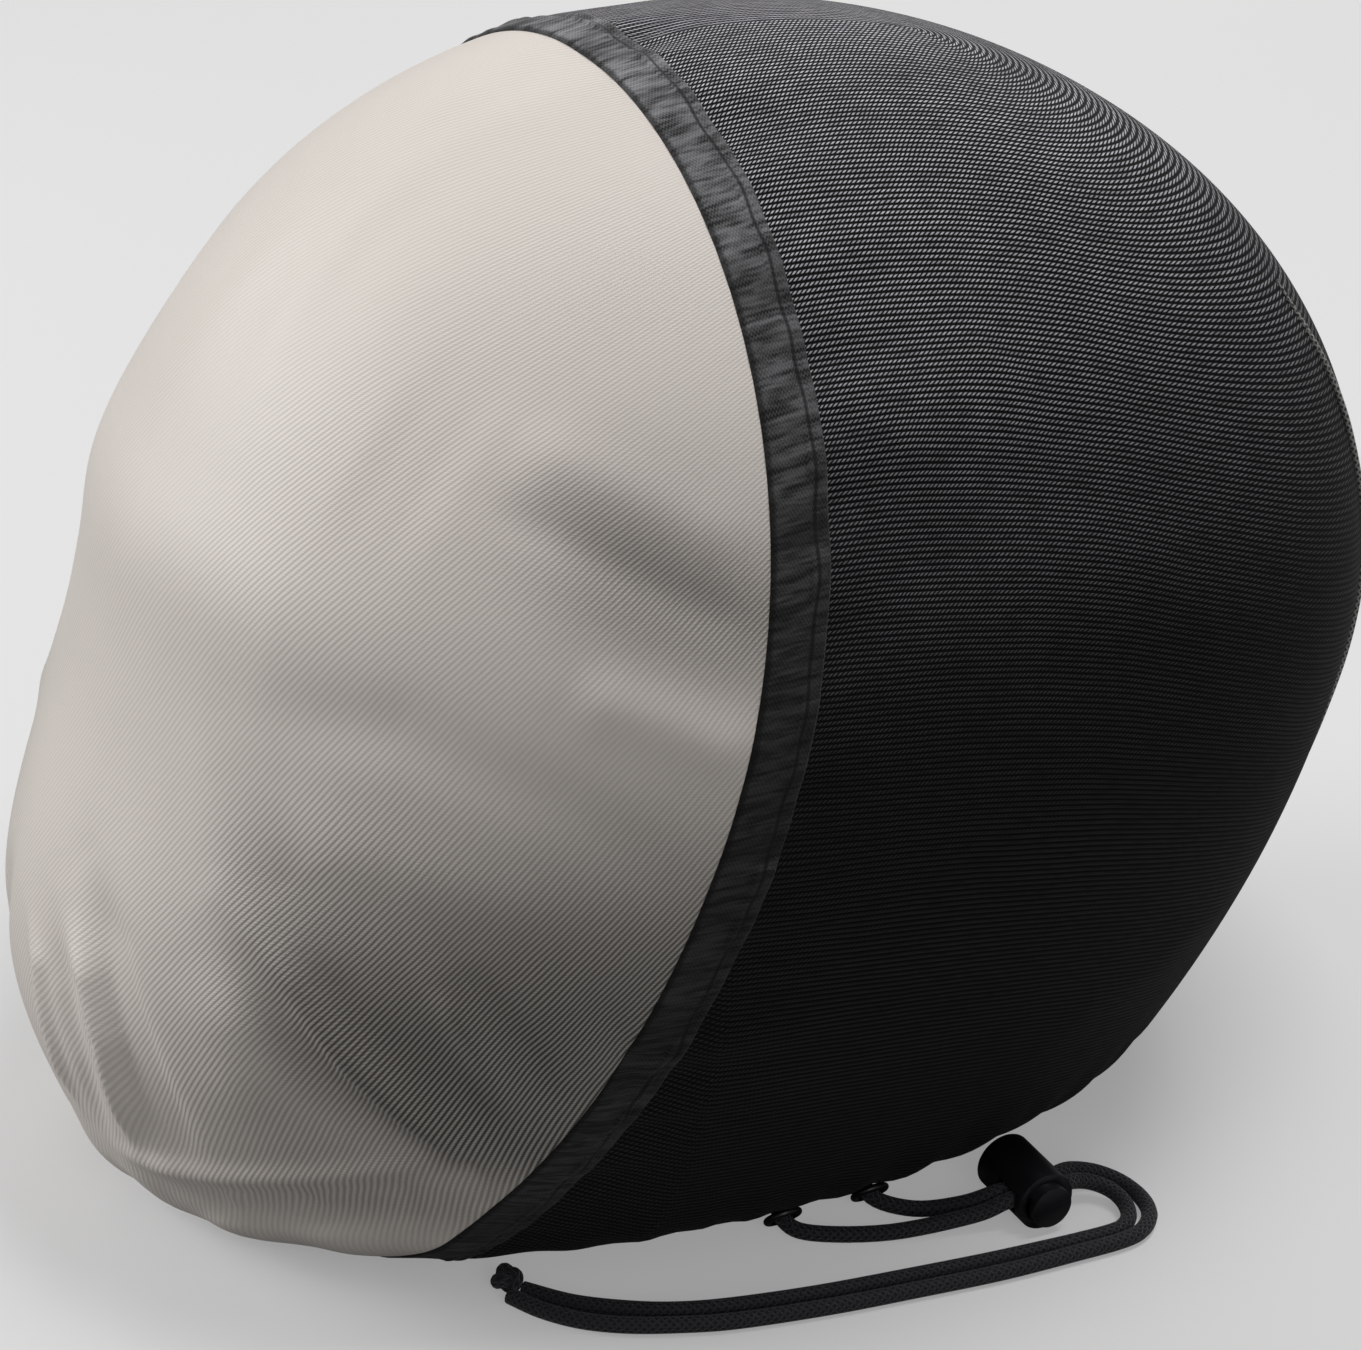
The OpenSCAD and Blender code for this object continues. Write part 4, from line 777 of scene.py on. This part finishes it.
# %% Seam band
def band_place(u, v):
    line = seam_line()
    run = along(line)
    s = v * run[-1]
    z = np.interp(s, run, line[:, 2])
    x = np.interp(s, run, line[:, 0])
    y = seam_y(z) + BAND_W * u
    reach = np.maximum(cloth_front(z), 1e-3)
    side = half_w(z, 0) * np.clip(1 - np.abs(np.minimum(y, 0) / reach) ** SQUARE, 0, 1) ** (1 / SQUARE)
    # over the crown the strip keeps its x and climbs the dome instead
    crown = np.clip((z - 215) / 30, 0, 1)
    k = np.clip((np.abs(x) / SIDE) ** SQUARE + (np.abs(y) / DOME_R) ** SQUARE, 0, 1) ** (1 / SQUARE)
    dome_z = PIVOT + DOME_R * np.sqrt(1 - k * k)
    px = np.sign(x + 1e-9) * (side * (1 - crown) + np.abs(x) * crown)
    pz = z * (1 - crown) + dome_z * crown
    p = np.stack([px, y, pz], axis=1)
    edge = np.minimum(u, 1 - u) * BAND_W
    pucker = (0.35 * np.sin(s / 3.1 + 2 * np.sin(s / 17)) * np.exp(-((u - 0.86) / 0.16) ** 2)
              + 0.18 * np.sin(s / 1.7) * np.exp(-((u - 0.1) / 0.1) ** 2))
    stitch = 0.5 * np.exp(-((u - 0.84) / 0.05) ** 2)
    lift = 0.15 + 0.75 * np.clip(edge / 1.6, 0, 1) ** 0.6 + pucker - stitch
    p = folded(p)
    return p + outward(p) * lift[:, None]

def band_map(p):
    return p[:, 1] - seam_y(p[:, 2]) + 40, 130 * np.arctan2(p[:, 2] - 60, np.abs(p[:, 0]) + 1)

band = bag_cloth("seam_band_cloth", (26, 460), band_place, 0.8, band_map, black_painted_shade,
                 BAND, "bag_seam_band")

# %% [markdown]
# ## Hem, piping and eyelets
# Under the rim the cloth turns in, and its folded edge makes a casing for the drawcord. Drawn
# tight, the casing gathers: the turned-in cloth lies in many small radial folds. The profile is
# swept round the foot of the form, with ripples that grow towards the cord.

# %% Hem casing
HEM_W, HEM_MID, HEM_ROUND = 14.0, 3.4, 760    # its width, the height of its cord, and the way round it
HEM_IN = HEM_W - HEM_MID

def foot(t, inset):
    """The outline on the floor, drawn in by inset mm."""
    zero = np.zeros_like(t)
    return section(half_w(zero, 0) - inset, front_w(zero, 0) - inset, back_w(zero, 0) - inset, t)

def hem_place(u, v):
    t = 360 * v
    run = v * HEM_ROUND
    lead = 0.42    # the share that runs in under the rim, before the cloth curls round the cord
    k = np.clip(u / lead, 0, 1)
    a = np.clip((u - lead) / (1 - lead), 0, 1) * 2 * math.pi * 0.93
    gather = np.sin(run / 1.75 + 1.3 * np.sin(run / 21)) * (0.25 + 0.75 * k)
    r = 3.05 + 0.22 * gather
    inset = np.where(u < lead, 0.3 + (HEM_IN - 0.6) * k, HEM_IN + r * np.sin(a))
    z = np.where(u < lead, 0.75 + 0.28 * gather * k, HEM_MID - r * np.cos(a) * np.where(a < 0.4, 0.98, 1))
    x, y = foot(t, inset)
    return np.stack([x, y, np.maximum(z, 0.15)], axis=1)

def hem_map(p):
    t = np.degrees(np.arctan2(p[:, 0], -p[:, 1]))
    return t * 2.1, np.hypot(p[:, 0], p[:, 1]) + p[:, 2]

hem = bag_cloth("hem_casing_cloth", (34, 480), hem_place, 0.5, hem_map, black_painted_shade,
                BLACK, "bag_hem_casing")

# %% Piping
pipe_turns = [(212, 150), (190, 149.5)] + [(z, 149) for z in (170, 145, 120, 95, 70, 45, 22)]
pipe_path = folded(smooth([form(np.array(float(z)), np.array(float(t)), -0.6) for z, t in pipe_turns], 8))
pipes = []
for side, sign in (("left", 1), ("right", -1)):
    run = pipe_path * [sign, 1, 1]
    taper = np.interp(np.arange(len(run)), [0, 6, len(run) - 7, len(run) - 1], [0.2, 0.75, 0.75, 0.2])
    pipes.append(tube(f"piping_{side}", run, taper, 10))
PIPING = braid("piping_cloth", grey(0.06), grey(0.34, (1.02, 1, 0.93)))
for pipe in pipes:
    adopt(pipe, pipe.name, PIPING, "cloth_bag")
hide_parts("bag_side_piping")
print("piping:", round(length(pipe_path)), "mm on each side")

# %% Eyelets and the cord inside the hem
HOLE_R, RING_R = CORD_R + 0.9, 0.9    # of an eyelet's hole and of its rolled edge

def eyelet(name, centre):
    """A rolled metal ring: a torus turned to face along the cord."""
    bpy.ops.object.select_all(action="DESELECT")
    bpy.ops.mesh.primitive_torus_add(major_segments=48, minor_segments=16,
                                     major_radius=(HOLE_R + 1.1) / 1000, minor_radius=RING_R / 1000)
    ring = bpy.context.active_object
    ring.name = name
    turn = Matrix.Rotation(EXIT_TURN, 4, "Y")
    ring.matrix_world = Matrix.Translation(metres(centre + 2.3 * EXIT_DIR)) @ turn
    bpy.ops.object.transform_apply(location=True, rotation=True, scale=True)
    bpy.ops.object.shade_smooth()
    return ring

rings = [adopt(eyelet(f"eyelet_{n}", e), f"eyelet_{n}", EYELET, "cloth_bag")
         for n, e in zip(("front", "back"), exits)]
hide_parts("cord_eyelets")

hem_turns = np.arange(75.0, -256, -5)    # from one eyelet round the whole foot to the other
inner = np.stack([*foot(hem_turns, HEM_IN), np.full(hem_turns.shape, HEM_MID)], axis=1)
hem_cord = tube("cord_in_hem", inner, CORD_R, 10)
adopt(hem_cord, "cord_in_hem", CORD, "cloth_bag")
print("hem cord", round(length(inner)), "mm")

# %% [markdown]
# ## Spring lock and knot
# The lock is a barrel with a button: pressed, it frees the cord. Both are eased copies of the CAD's
# solids, made further on with the helmet's small parts. The long ends finish together in one tight
# knot. It could be tied from two strands, but at this size one strand in a closed knot looks alike.

# %% Knot at the long ends
KNOT_AT = [79.2, -82.0, 3.9]

def knot_path():
    """A trefoil, the simplest closed knot."""
    a = np.linspace(0, 2 * math.pi, 60)
    x = np.sin(a) + 2 * np.sin(2 * a)
    y = np.cos(a) - 2 * np.cos(2 * a)
    z = -np.sin(3 * a)
    p = np.stack([x, y, z], axis=1) * [0.78, 0.78, 1.0]
    return p + KNOT_AT

knot = tube("end_knot", knot_path(), 1.75, 12)
adopt(knot, "end_knot", CORD, "cloth_bag", ["cord_end_knot"])
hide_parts("drawcord_long_ends")
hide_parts("drawcord_short_ends")
print("knot:", tris(knot), "triangles")

# %% [markdown]
# ## Finishes for the helmet
# The helmet under the bag is plain and unmarked: a satin grey shell, black mouldings, red controls,
# foam, knitted pads and webbing. Each finish is a quiet base with the fine grain that its making
# leaves: orange peel in lacquer, beads in foam, a spark texture in moulded plastic.

# %% Finishes for the helmet
def lacquer(name):
    coat = Finish(name, Metallic=0.0, Coat_Roughness=0.12, Specular_IOR_Level=0.5)
    u, v, w = coat.place("object")
    flake = coat.noise(u, v, w, 0.25, 1)
    peel, cloud = coat.noise(u, v, w, 2.2, 2), coat.noise(u, v, w, 60, 3)
    cool = (0.97, 1, 1.04)
    coat.set(Base_Color=coat.blend(flake.band(0.35, 0.75), grey(0.13, cool), grey(0.22, cool)),
             Roughness=cloud * 0.12 + 0.28, Coat_Weight=cloud * 0.1 + 0.25)
    coat.bump(peel, 0.012)
    return coat.material

def beads(name):
    foam = Finish(name, Roughness=0.85, Specular_IOR_Level=0.3)
    u, v, w = foam.place("object")
    bead = 3.2    # mm across
    vector = foam.add("ShaderNodeCombineXYZ", values={0: u, 1: v, 2: w})
    cell = foam.add("ShaderNodeTexVoronoi", {"feature": "DISTANCE_TO_EDGE"},
                    {"Vector": vector, "Scale": 1 / bead})
    edge = cell.band(0.0, 0.12)
    foam.set(Base_Color=foam.blend(edge, grey(0.02), grey(0.06)), Roughness=0.9 - edge * 0.1)
    foam.bump(edge, 0.15)
    return foam.material

def pad_cloth(name):
    pad = Finish(name, Roughness=0.8, Sheen_Weight=0.3, Sheen_Roughness=0.5, Specular_IOR_Level=0.2)
    u, v, w = pad.place("object")
    a, b, c = [(way / 2.4).wave() for way in (u + v * 0.5, v - u * 0.5 + w, w * 0.8 + u * 0.3)]
    hole = a * b * c
    fleck = pad.noise(u, v, w, 0.7, 2)
    mesh = 1 - hole.band(0.25, 0.6)
    pad.set(Base_Color=pad.blend(mesh * (fleck * 0.6 + 0.5), grey(0.012), grey(0.075, (0.9, 1, 1.1))),
            Roughness=0.9 - mesh * 0.15)
    pad.bump(mesh * 0.7 + fleck * 0.3, 0.3)
    return pad.material

def woven(name):
    belt = Finish(name, Roughness=0.6, Specular_IOR_Level=0.35)
    u, v, _ = belt.place()
    warp, weft = (u / 1.5).wave(), (v / 1.1 + (u / 1.5).floor() * 0.5).wave()
    thread = warp * 0.6 + weft * 0.4
    belt.set(Base_Color=belt.blend(thread.band(0.2, 0.8), grey(0.01), grey(0.045)),
             Roughness=0.75 - thread * 0.2)
    belt.bump(thread, 0.3)
    return belt.material

def shield(name, colour, through):
    glass = Finish(name, Roughness=0.06, Specular_IOR_Level=0.5)
    u, v, w = glass.place("object")
    smear = glass.noise(u, v, w, 45, 3)
    glass.set(Base_Color=glass.blend(smear, grey(colour), grey(colour * 1.15)),
              Roughness=smear * 0.08 + 0.04, Alpha=smear * 0.04 + (1 - through))
    return glass.material

PAINT, FOAM = lacquer("satin_lacquer"), beads("bead_foam")
PADS, WEB = pad_cloth("mesh_lining"), woven("webbing_weave")
RUBBER = plain("trim_rubber", (0.02, 0.02, 0.02), 0.7, 0.8, 0.04)
PLASTIC = plain("moulded_black", (0.022, 0.022, 0.024), 0.45, 0.5, 0.03)
RED = plain("red_plastic", (0.42, 0.02, 0.015), 0.3, 0.6, 0.01)
CLEAR, TINT = shield("clear_shield", 0.75, 0.78), shield("tinted_shield", 0.03, 0.4)
print("finishes in all:", len(bpy.data.materials))

# %% [markdown]
# ## Smooth shells from the CAD's own solids
# The CAD keeps its curved shells as coarse facets. A copy of each is merged, its triangles are
# joined to quads, its sharp edges are creased, and Subdivision Surface rounds the rest. The rims
# stay crisp and the piece keeps its place.

# %% Copies of the CAD's solids
def copy_of(node, name):
    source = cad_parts[node]
    obj = source.copy()
    obj.data = source.data.copy()
    obj.parent = None
    obj.hide_render = obj.hide_viewport = False
    for key in [k for k in obj.keys() if k.startswith("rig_")]:
        del obj[key]
    bpy.context.scene.collection.objects.link(obj)
    obj.matrix_world = Matrix.Identity(4)
    obj.name = name
    activate(obj)
    if obj.data.has_custom_normals:
        bpy.ops.mesh.customdata_custom_splitnormals_clear()
    open_mesh(obj)
    bpy.ops.mesh.remove_doubles(threshold=SPECK)
    close_mesh()
    return obj

def refined(obj, levels):
    """A curved shell: rounded between its sharp edges."""
    open_mesh(obj)
    bpy.ops.mesh.tris_convert_to_quads(face_threshold=math.radians(30), shape_threshold=math.radians(50))
    bpy.ops.mesh.select_all(action="DESELECT")
    bpy.ops.mesh.edges_select_sharp(sharpness=math.radians(32))
    bpy.ops.transform.edge_crease(value=1)
    close_mesh()
    apply(obj, "round", "SUBSURF", levels=levels, render_levels=levels)
    bpy.ops.object.shade_smooth_by_angle(angle=math.radians(35))

def eased(obj, width):
    """A moulded or turned part: its sharp edges get a small round, as a real mould leaves them."""
    open_mesh(obj)
    bpy.ops.mesh.dissolve_limited(angle_limit=math.radians(2))
    close_mesh()
    apply(obj, "edge", "BEVEL", width=width / 1000, segments=2, limit_method="ANGLE",
          angle_limit=math.radians(40))
    bpy.ops.object.shade_smooth_by_angle(angle=math.radians(40))

def dress(shape, material, slot, *rows):
    """Each row's node is copied, shaped by the row's last value and given its finish."""
    for node, body, amount in rows:
        piece = copy_of(node, node + "_fine")
        shape(piece, amount)
        adopt(piece, piece.name, material, body, [node])
        print(node, tris(piece), "triangles")

# %% Curved shells, with their levels of rounding
dress(refined, PAINT, "shell_paint", ("outer_shell", "helmet", 2), ("chin_bar", "chin", 2))
dress(refined, FOAM, "foam", ("foam_liner", "helmet", 1), ("chin_bar_foam", "chin", 1))
dress(refined, RUBBER, "trim_rubber", ("rim_trim", "helmet", 1), ("eye_port_gasket", "helmet", 2))
dress(refined, CLEAR, "clear_visor", ("visor", "clear_shield", 2))
dress(refined, TINT, "tinted_visor", ("sun_visor", "inner_shield", 2))
dress(refined, RUBBER, "matt_black_plastic", ("breath_deflector", "chin", 1))
dress(refined, PLASTIC, "matt_black_plastic", ("chin_vent_slider", "chin_vent", 1),
      ("top_vent_duct", "helmet", 2), ("rear_vent", "helmet", 2))
dress(refined, STEEL, "steel", ("button_spring", "chin", 1), ("cord_lock_spring", "cloth_bag", 1))

# %% Moulded and turned parts, with the round of their edges in mm
dress(eased, PLASTIC, "matt_black_plastic", ("chin_curtain", "chin", 0.2),
      ("buckle_housing", "helmet", 0.6))
for side in ("left", "right"):
    dress(eased, PLASTIC, "matt_black_plastic", ("pivot_base_" + side, "helmet", 0.2),
          ("pivot_cover_" + side, "chin", 0.1))
dress(eased, RED, "red_plastic", ("release_button", "release", 0.6),
      ("sun_visor_lever", "shield_lever", 0.5), ("buckle_lever", "strap_lever", 0.4))
dress(eased, STEEL, "steel", ("latch_claws", "chin", 0.2), ("latch_pins", "helmet", 0.4),
      ("sun_visor_pins", "helmet", 0.3), ("buckle_tongue", "helmet", 0.15),
      ("strap_rivets", "helmet", 0.4))
dress(eased, PAINT, "shell_paint", ("top_vent_slider", "top_vent", 0.3))
dress(eased, LOCK, "matt_black_plastic", ("cord_lock_body", "cloth_bag", 0.8),
      ("cord_lock_button", "lock_plunger", 0.8))

# %% [markdown]
# ## Comfort pads
# The pads are knitted covers over soft foam. Each starts from its CAD solid, remeshed to even
# voxels, and a short cloth simulation with pressure plumps it. The cover then gets the sewn
# channels that hold such pads in shape, as narrow valleys with a soft swell between them.

# %% Plump pads
FRAMES, PRESSURE, FILL = 12, 4, 0.75

def swell(obj, cap):
    """Blows the cover up by a short cloth simulation, no point by more than cap mm."""
    start = coords(obj)
    cloth = obj.modifiers.new("cloth", "CLOTH")
    cloth.settings.quality = 4
    cloth.settings.use_pressure = True
    cloth.settings.uniform_pressure_force = PRESSURE
    cloth.settings.effector_weights.gravity = 0
    cloth.point_cache.frame_start, cloth.point_cache.frame_end = 1, FRAMES
    for n in range(1, FRAMES + 1):
        bpy.context.scene.frame_set(n)
    bpy.ops.object.modifier_apply(modifier="cloth")
    moved = coords(obj) - start
    far = np.linalg.norm(moved, axis=1)
    put(obj, start + moved * (np.minimum(far, cap / 1000) / np.maximum(far, 1e-9))[:, None])
    bpy.context.scene.frame_set(1)

def plump(node, voxel, cap, channels):
    obj = copy_of(node, node + "_cover")
    apply(obj, "even", "REMESH", mode="VOXEL", voxel_size=voxel / 1000)
    swell(obj, cap)
    activate(obj)
    apply(obj, "finer", "SUBSURF", levels=1, render_levels=1)
    put(obj, coords(obj) - read(obj, "normal") * (channels(in_mm(obj)) / 1000)[:, None])
    bpy.ops.object.shade_smooth()
    adopt(obj, obj.name, PADS, "helmet", [node])
    print(node, tris(obj), "triangles")

# %% Sewn channels of the pads
def valley(gap, width, depth):
    return depth * np.exp(-(gap / width) ** 2)

def crown_channels(p):
    lengthwise = sum(valley(np.abs(p[:, 0]) - x, 1.6, 1.4) for x in (0, 34))
    return 0.5 + lengthwise + valley(p[:, 1] - 20, 1.6, 1.2)

def cheek_channels(p):
    ring = np.hypot((p[:, 1] + 6) / 26, (p[:, 2] - 72) / 27)
    return 0.5 + valley((ring - 1) * 26, 1.6, 1.6)

def neck_channels(p):
    t = np.degrees(np.arctan2(p[:, 0], p[:, 1]))
    return 0.5 + valley((np.abs(t) - 22) * 1.6, 1.4, 1.0)

plump("crown_pad", 2.6, 1.2, crown_channels)
plump("cheek_pad_left", 2.4, 1.5, cheek_channels)
plump("cheek_pad_right", 2.4, 1.5, cheek_channels)
plump("neck_roll", 2.2, 1.0, neck_channels)

# %% [markdown]
# ## Chin strap
# Each half is a flat webbing band, riveted inside the shell and led through its buckle part. Flat
# straps are modelled directly: a ribbon along a smooth line, with a little crown and a real wall.

# %% Straps
STRAP_Y, STRAP_W, STRAP_T, RIVET_Z = -8.0, 24.0, 1.6, 25.0
SHELL_SIDE, SHELL_R, SHELL_FOOT, SHELL_T = 115.5, 133, 4.0, 3.5
STRAP_LINE = [(1.3, 28.4), (-1.9, 21.4), (-7.5, 17.5), (-13, 12.5), (-20, 9.8)]    # from the wall, height

def inner_wall(z):
    """Half the room between the shell's inner faces at height z."""
    side = (SHELL_SIDE - SHELL_T) * rise(z, SHELL_R - SHELL_T) - SIDE_IN * fall(z) ** 2
    return float(side - tuck(z, SHELL_FOOT))

WALL_X = inner_wall(np.array(RIVET_Z)) - 1.2

def strap(name, sign, end, node):
    line = [(WALL_X + out, z) for out, z in STRAP_LINE] + [(end, 8.6)]
    path = smooth([(x, 0, z) for x, z in line], 8)
    run = along(path)

    def place(u, v):
        s = v * run[-1]
        x, z = np.interp(s, run, path[:, 0]), np.interp(s, run, path[:, 2])
        y = STRAP_Y + (u - 0.5) * STRAP_W
        return np.stack([sign * x, y, z + 0.1 * (1 - (2 * u - 1) ** 2)], axis=1)

    obj = sheet_of(name, 16, 60, place, STRAP_T - 0.3, offset=-1.0 if sign > 0 else 1.0)
    lay_uv(obj, lambda p: (p[:, 1], np.abs(p[:, 0]) + p[:, 2]))
    open_mesh(obj)
    bpy.ops.mesh.normals_make_consistent(inside=False)
    close_mesh()
    bpy.ops.object.shade_smooth_by_angle(angle=math.radians(40))
    return adopt(obj, name, WEB, "helmet", [node])

left_web = strap("strap_left_web", 1, 34, "chin_strap_left")
right_web = strap("strap_right_web", -1, 26, "chin_strap_right")
print("straps:", tris(left_web), tris(right_web), "triangles")

# %% [markdown]
# ## Floor and light
# A plain pale floor and soft studio light: a large key lamp from in front and above, a lamp over
# the crown, weak fills from the side and behind, and an even pale world. The floor and the world
# look pale to the camera alone, the floor with a small glow of its own, and they send less light
# to the object, so that its underside stays dark.

# %% Floor
FLOOR_TONE, SEEN_TONE, SEEN_GLOW = 0.28, 0.5, 0.27

bpy.ops.object.select_all(action="DESELECT")
bpy.ops.mesh.primitive_plane_add(size=12, location=(0, 0, -0.0002))
floor = bpy.context.active_object
floor.name = "studio_floor"
ground = Finish("floor_paint", Roughness=0.9, Specular_IOR_Level=0.1, Emission_Strength=1.0)
seen = ground.add("ShaderNodeLightPath", out="Is Camera Ray")
ground.set(Base_Color=ground.blend(seen, grey(FLOOR_TONE), grey(SEEN_TONE)),
           Emission_Color=ground.blend(seen, grey(0.0), grey(SEEN_GLOW)))
floor.data.materials.append(ground.material)
print("floor laid:", tuple(floor.dimensions))

# %% Lamps
LAMP_SIZE, MIDDLE = 0.8, (0, 0, 0.15)
LAMPS = (("key_light", (-0.9, -1.3, 0.75), (0, -0.02, 0.14), 18),
         ("top_light", (0.1, 0.35, 1.7), MIDDLE, 15),
         ("side_fill", (1.6, -0.3, 0.8), MIDDLE, 4),
         ("back_fill", (-1.3, 1.1, 0.8), MIDDLE, 6))

for name, spot, target, watts in LAMPS:
    light = bpy.data.lights.new(name, "AREA")
    light.shape, light.size, light.energy = "SQUARE", LAMP_SIZE, watts
    lamp = bpy.data.objects.new(name, light)
    bpy.context.scene.collection.objects.link(lamp)
    lamp.location = spot
    lamp.rotation_euler = (Vector(spot) - Vector(target)).to_track_quat("Z", "Y").to_euler()
    print(name, watts, "W")

# %% World
WORLD_LIGHT, SEEN_MORE = 0.2, 0.7    # its strength on the object, and what the camera sees beyond that

world = bpy.data.worlds.new("studio_world")
bpy.context.scene.world = world
world.use_nodes = True
sky = world.node_tree.nodes["Background"]
path_node = world.node_tree.nodes.new("ShaderNodeLightPath")
dim = world.node_tree.nodes.new("ShaderNodeMath")
dim.operation = "MULTIPLY_ADD"
dim.inputs[1].default_value, dim.inputs[2].default_value = SEEN_MORE, WORLD_LIGHT
world.node_tree.links.new(path_node.outputs["Is Camera Ray"], dim.inputs[0])
world.node_tree.links.new(dim.outputs[0], sky.inputs["Strength"])
sky.inputs["Color"].default_value = (1, 1, 1, 1)
bpy.context.scene.view_settings.view_transform = "Standard"
print("world strength:", WORLD_LIGHT, "on the object,", WORLD_LIGHT + SEEN_MORE, "in the camera")

for cord, path, end in cords.values():
    metres(path[0]).tolist()
    metres(path).tolist()
    print(cord.name, round(length(path)), "mm")

sheets = [(front_panel, 0.36), (rear_panel, 0.42), (band, BAND_W / 1000), (hem, 0.036)]

# %% [markdown]
# ## When the chin bar flips up
# On the real helmet the bag comes off first. Where a pose flips the chin bar with the bag still at
# rest, the cloth can't follow. Here each bag piece and the knot only get meshes of their own.

# %% Give the cloth its own meshes
CLOTH_LEFT, KNOT_LEFT = 0.02, 0.3    # the shares of their height that they would keep; nothing here lowers them

limp = [(piece, CLOTH_LEFT) for piece in [piece for piece, _ in sheets] + pipes + rings + [hem_cord]]
for piece, keep in limp + [(knot, KNOT_LEFT)]:
    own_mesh(piece)
print("pieces that sink:", len(limp) + 1)
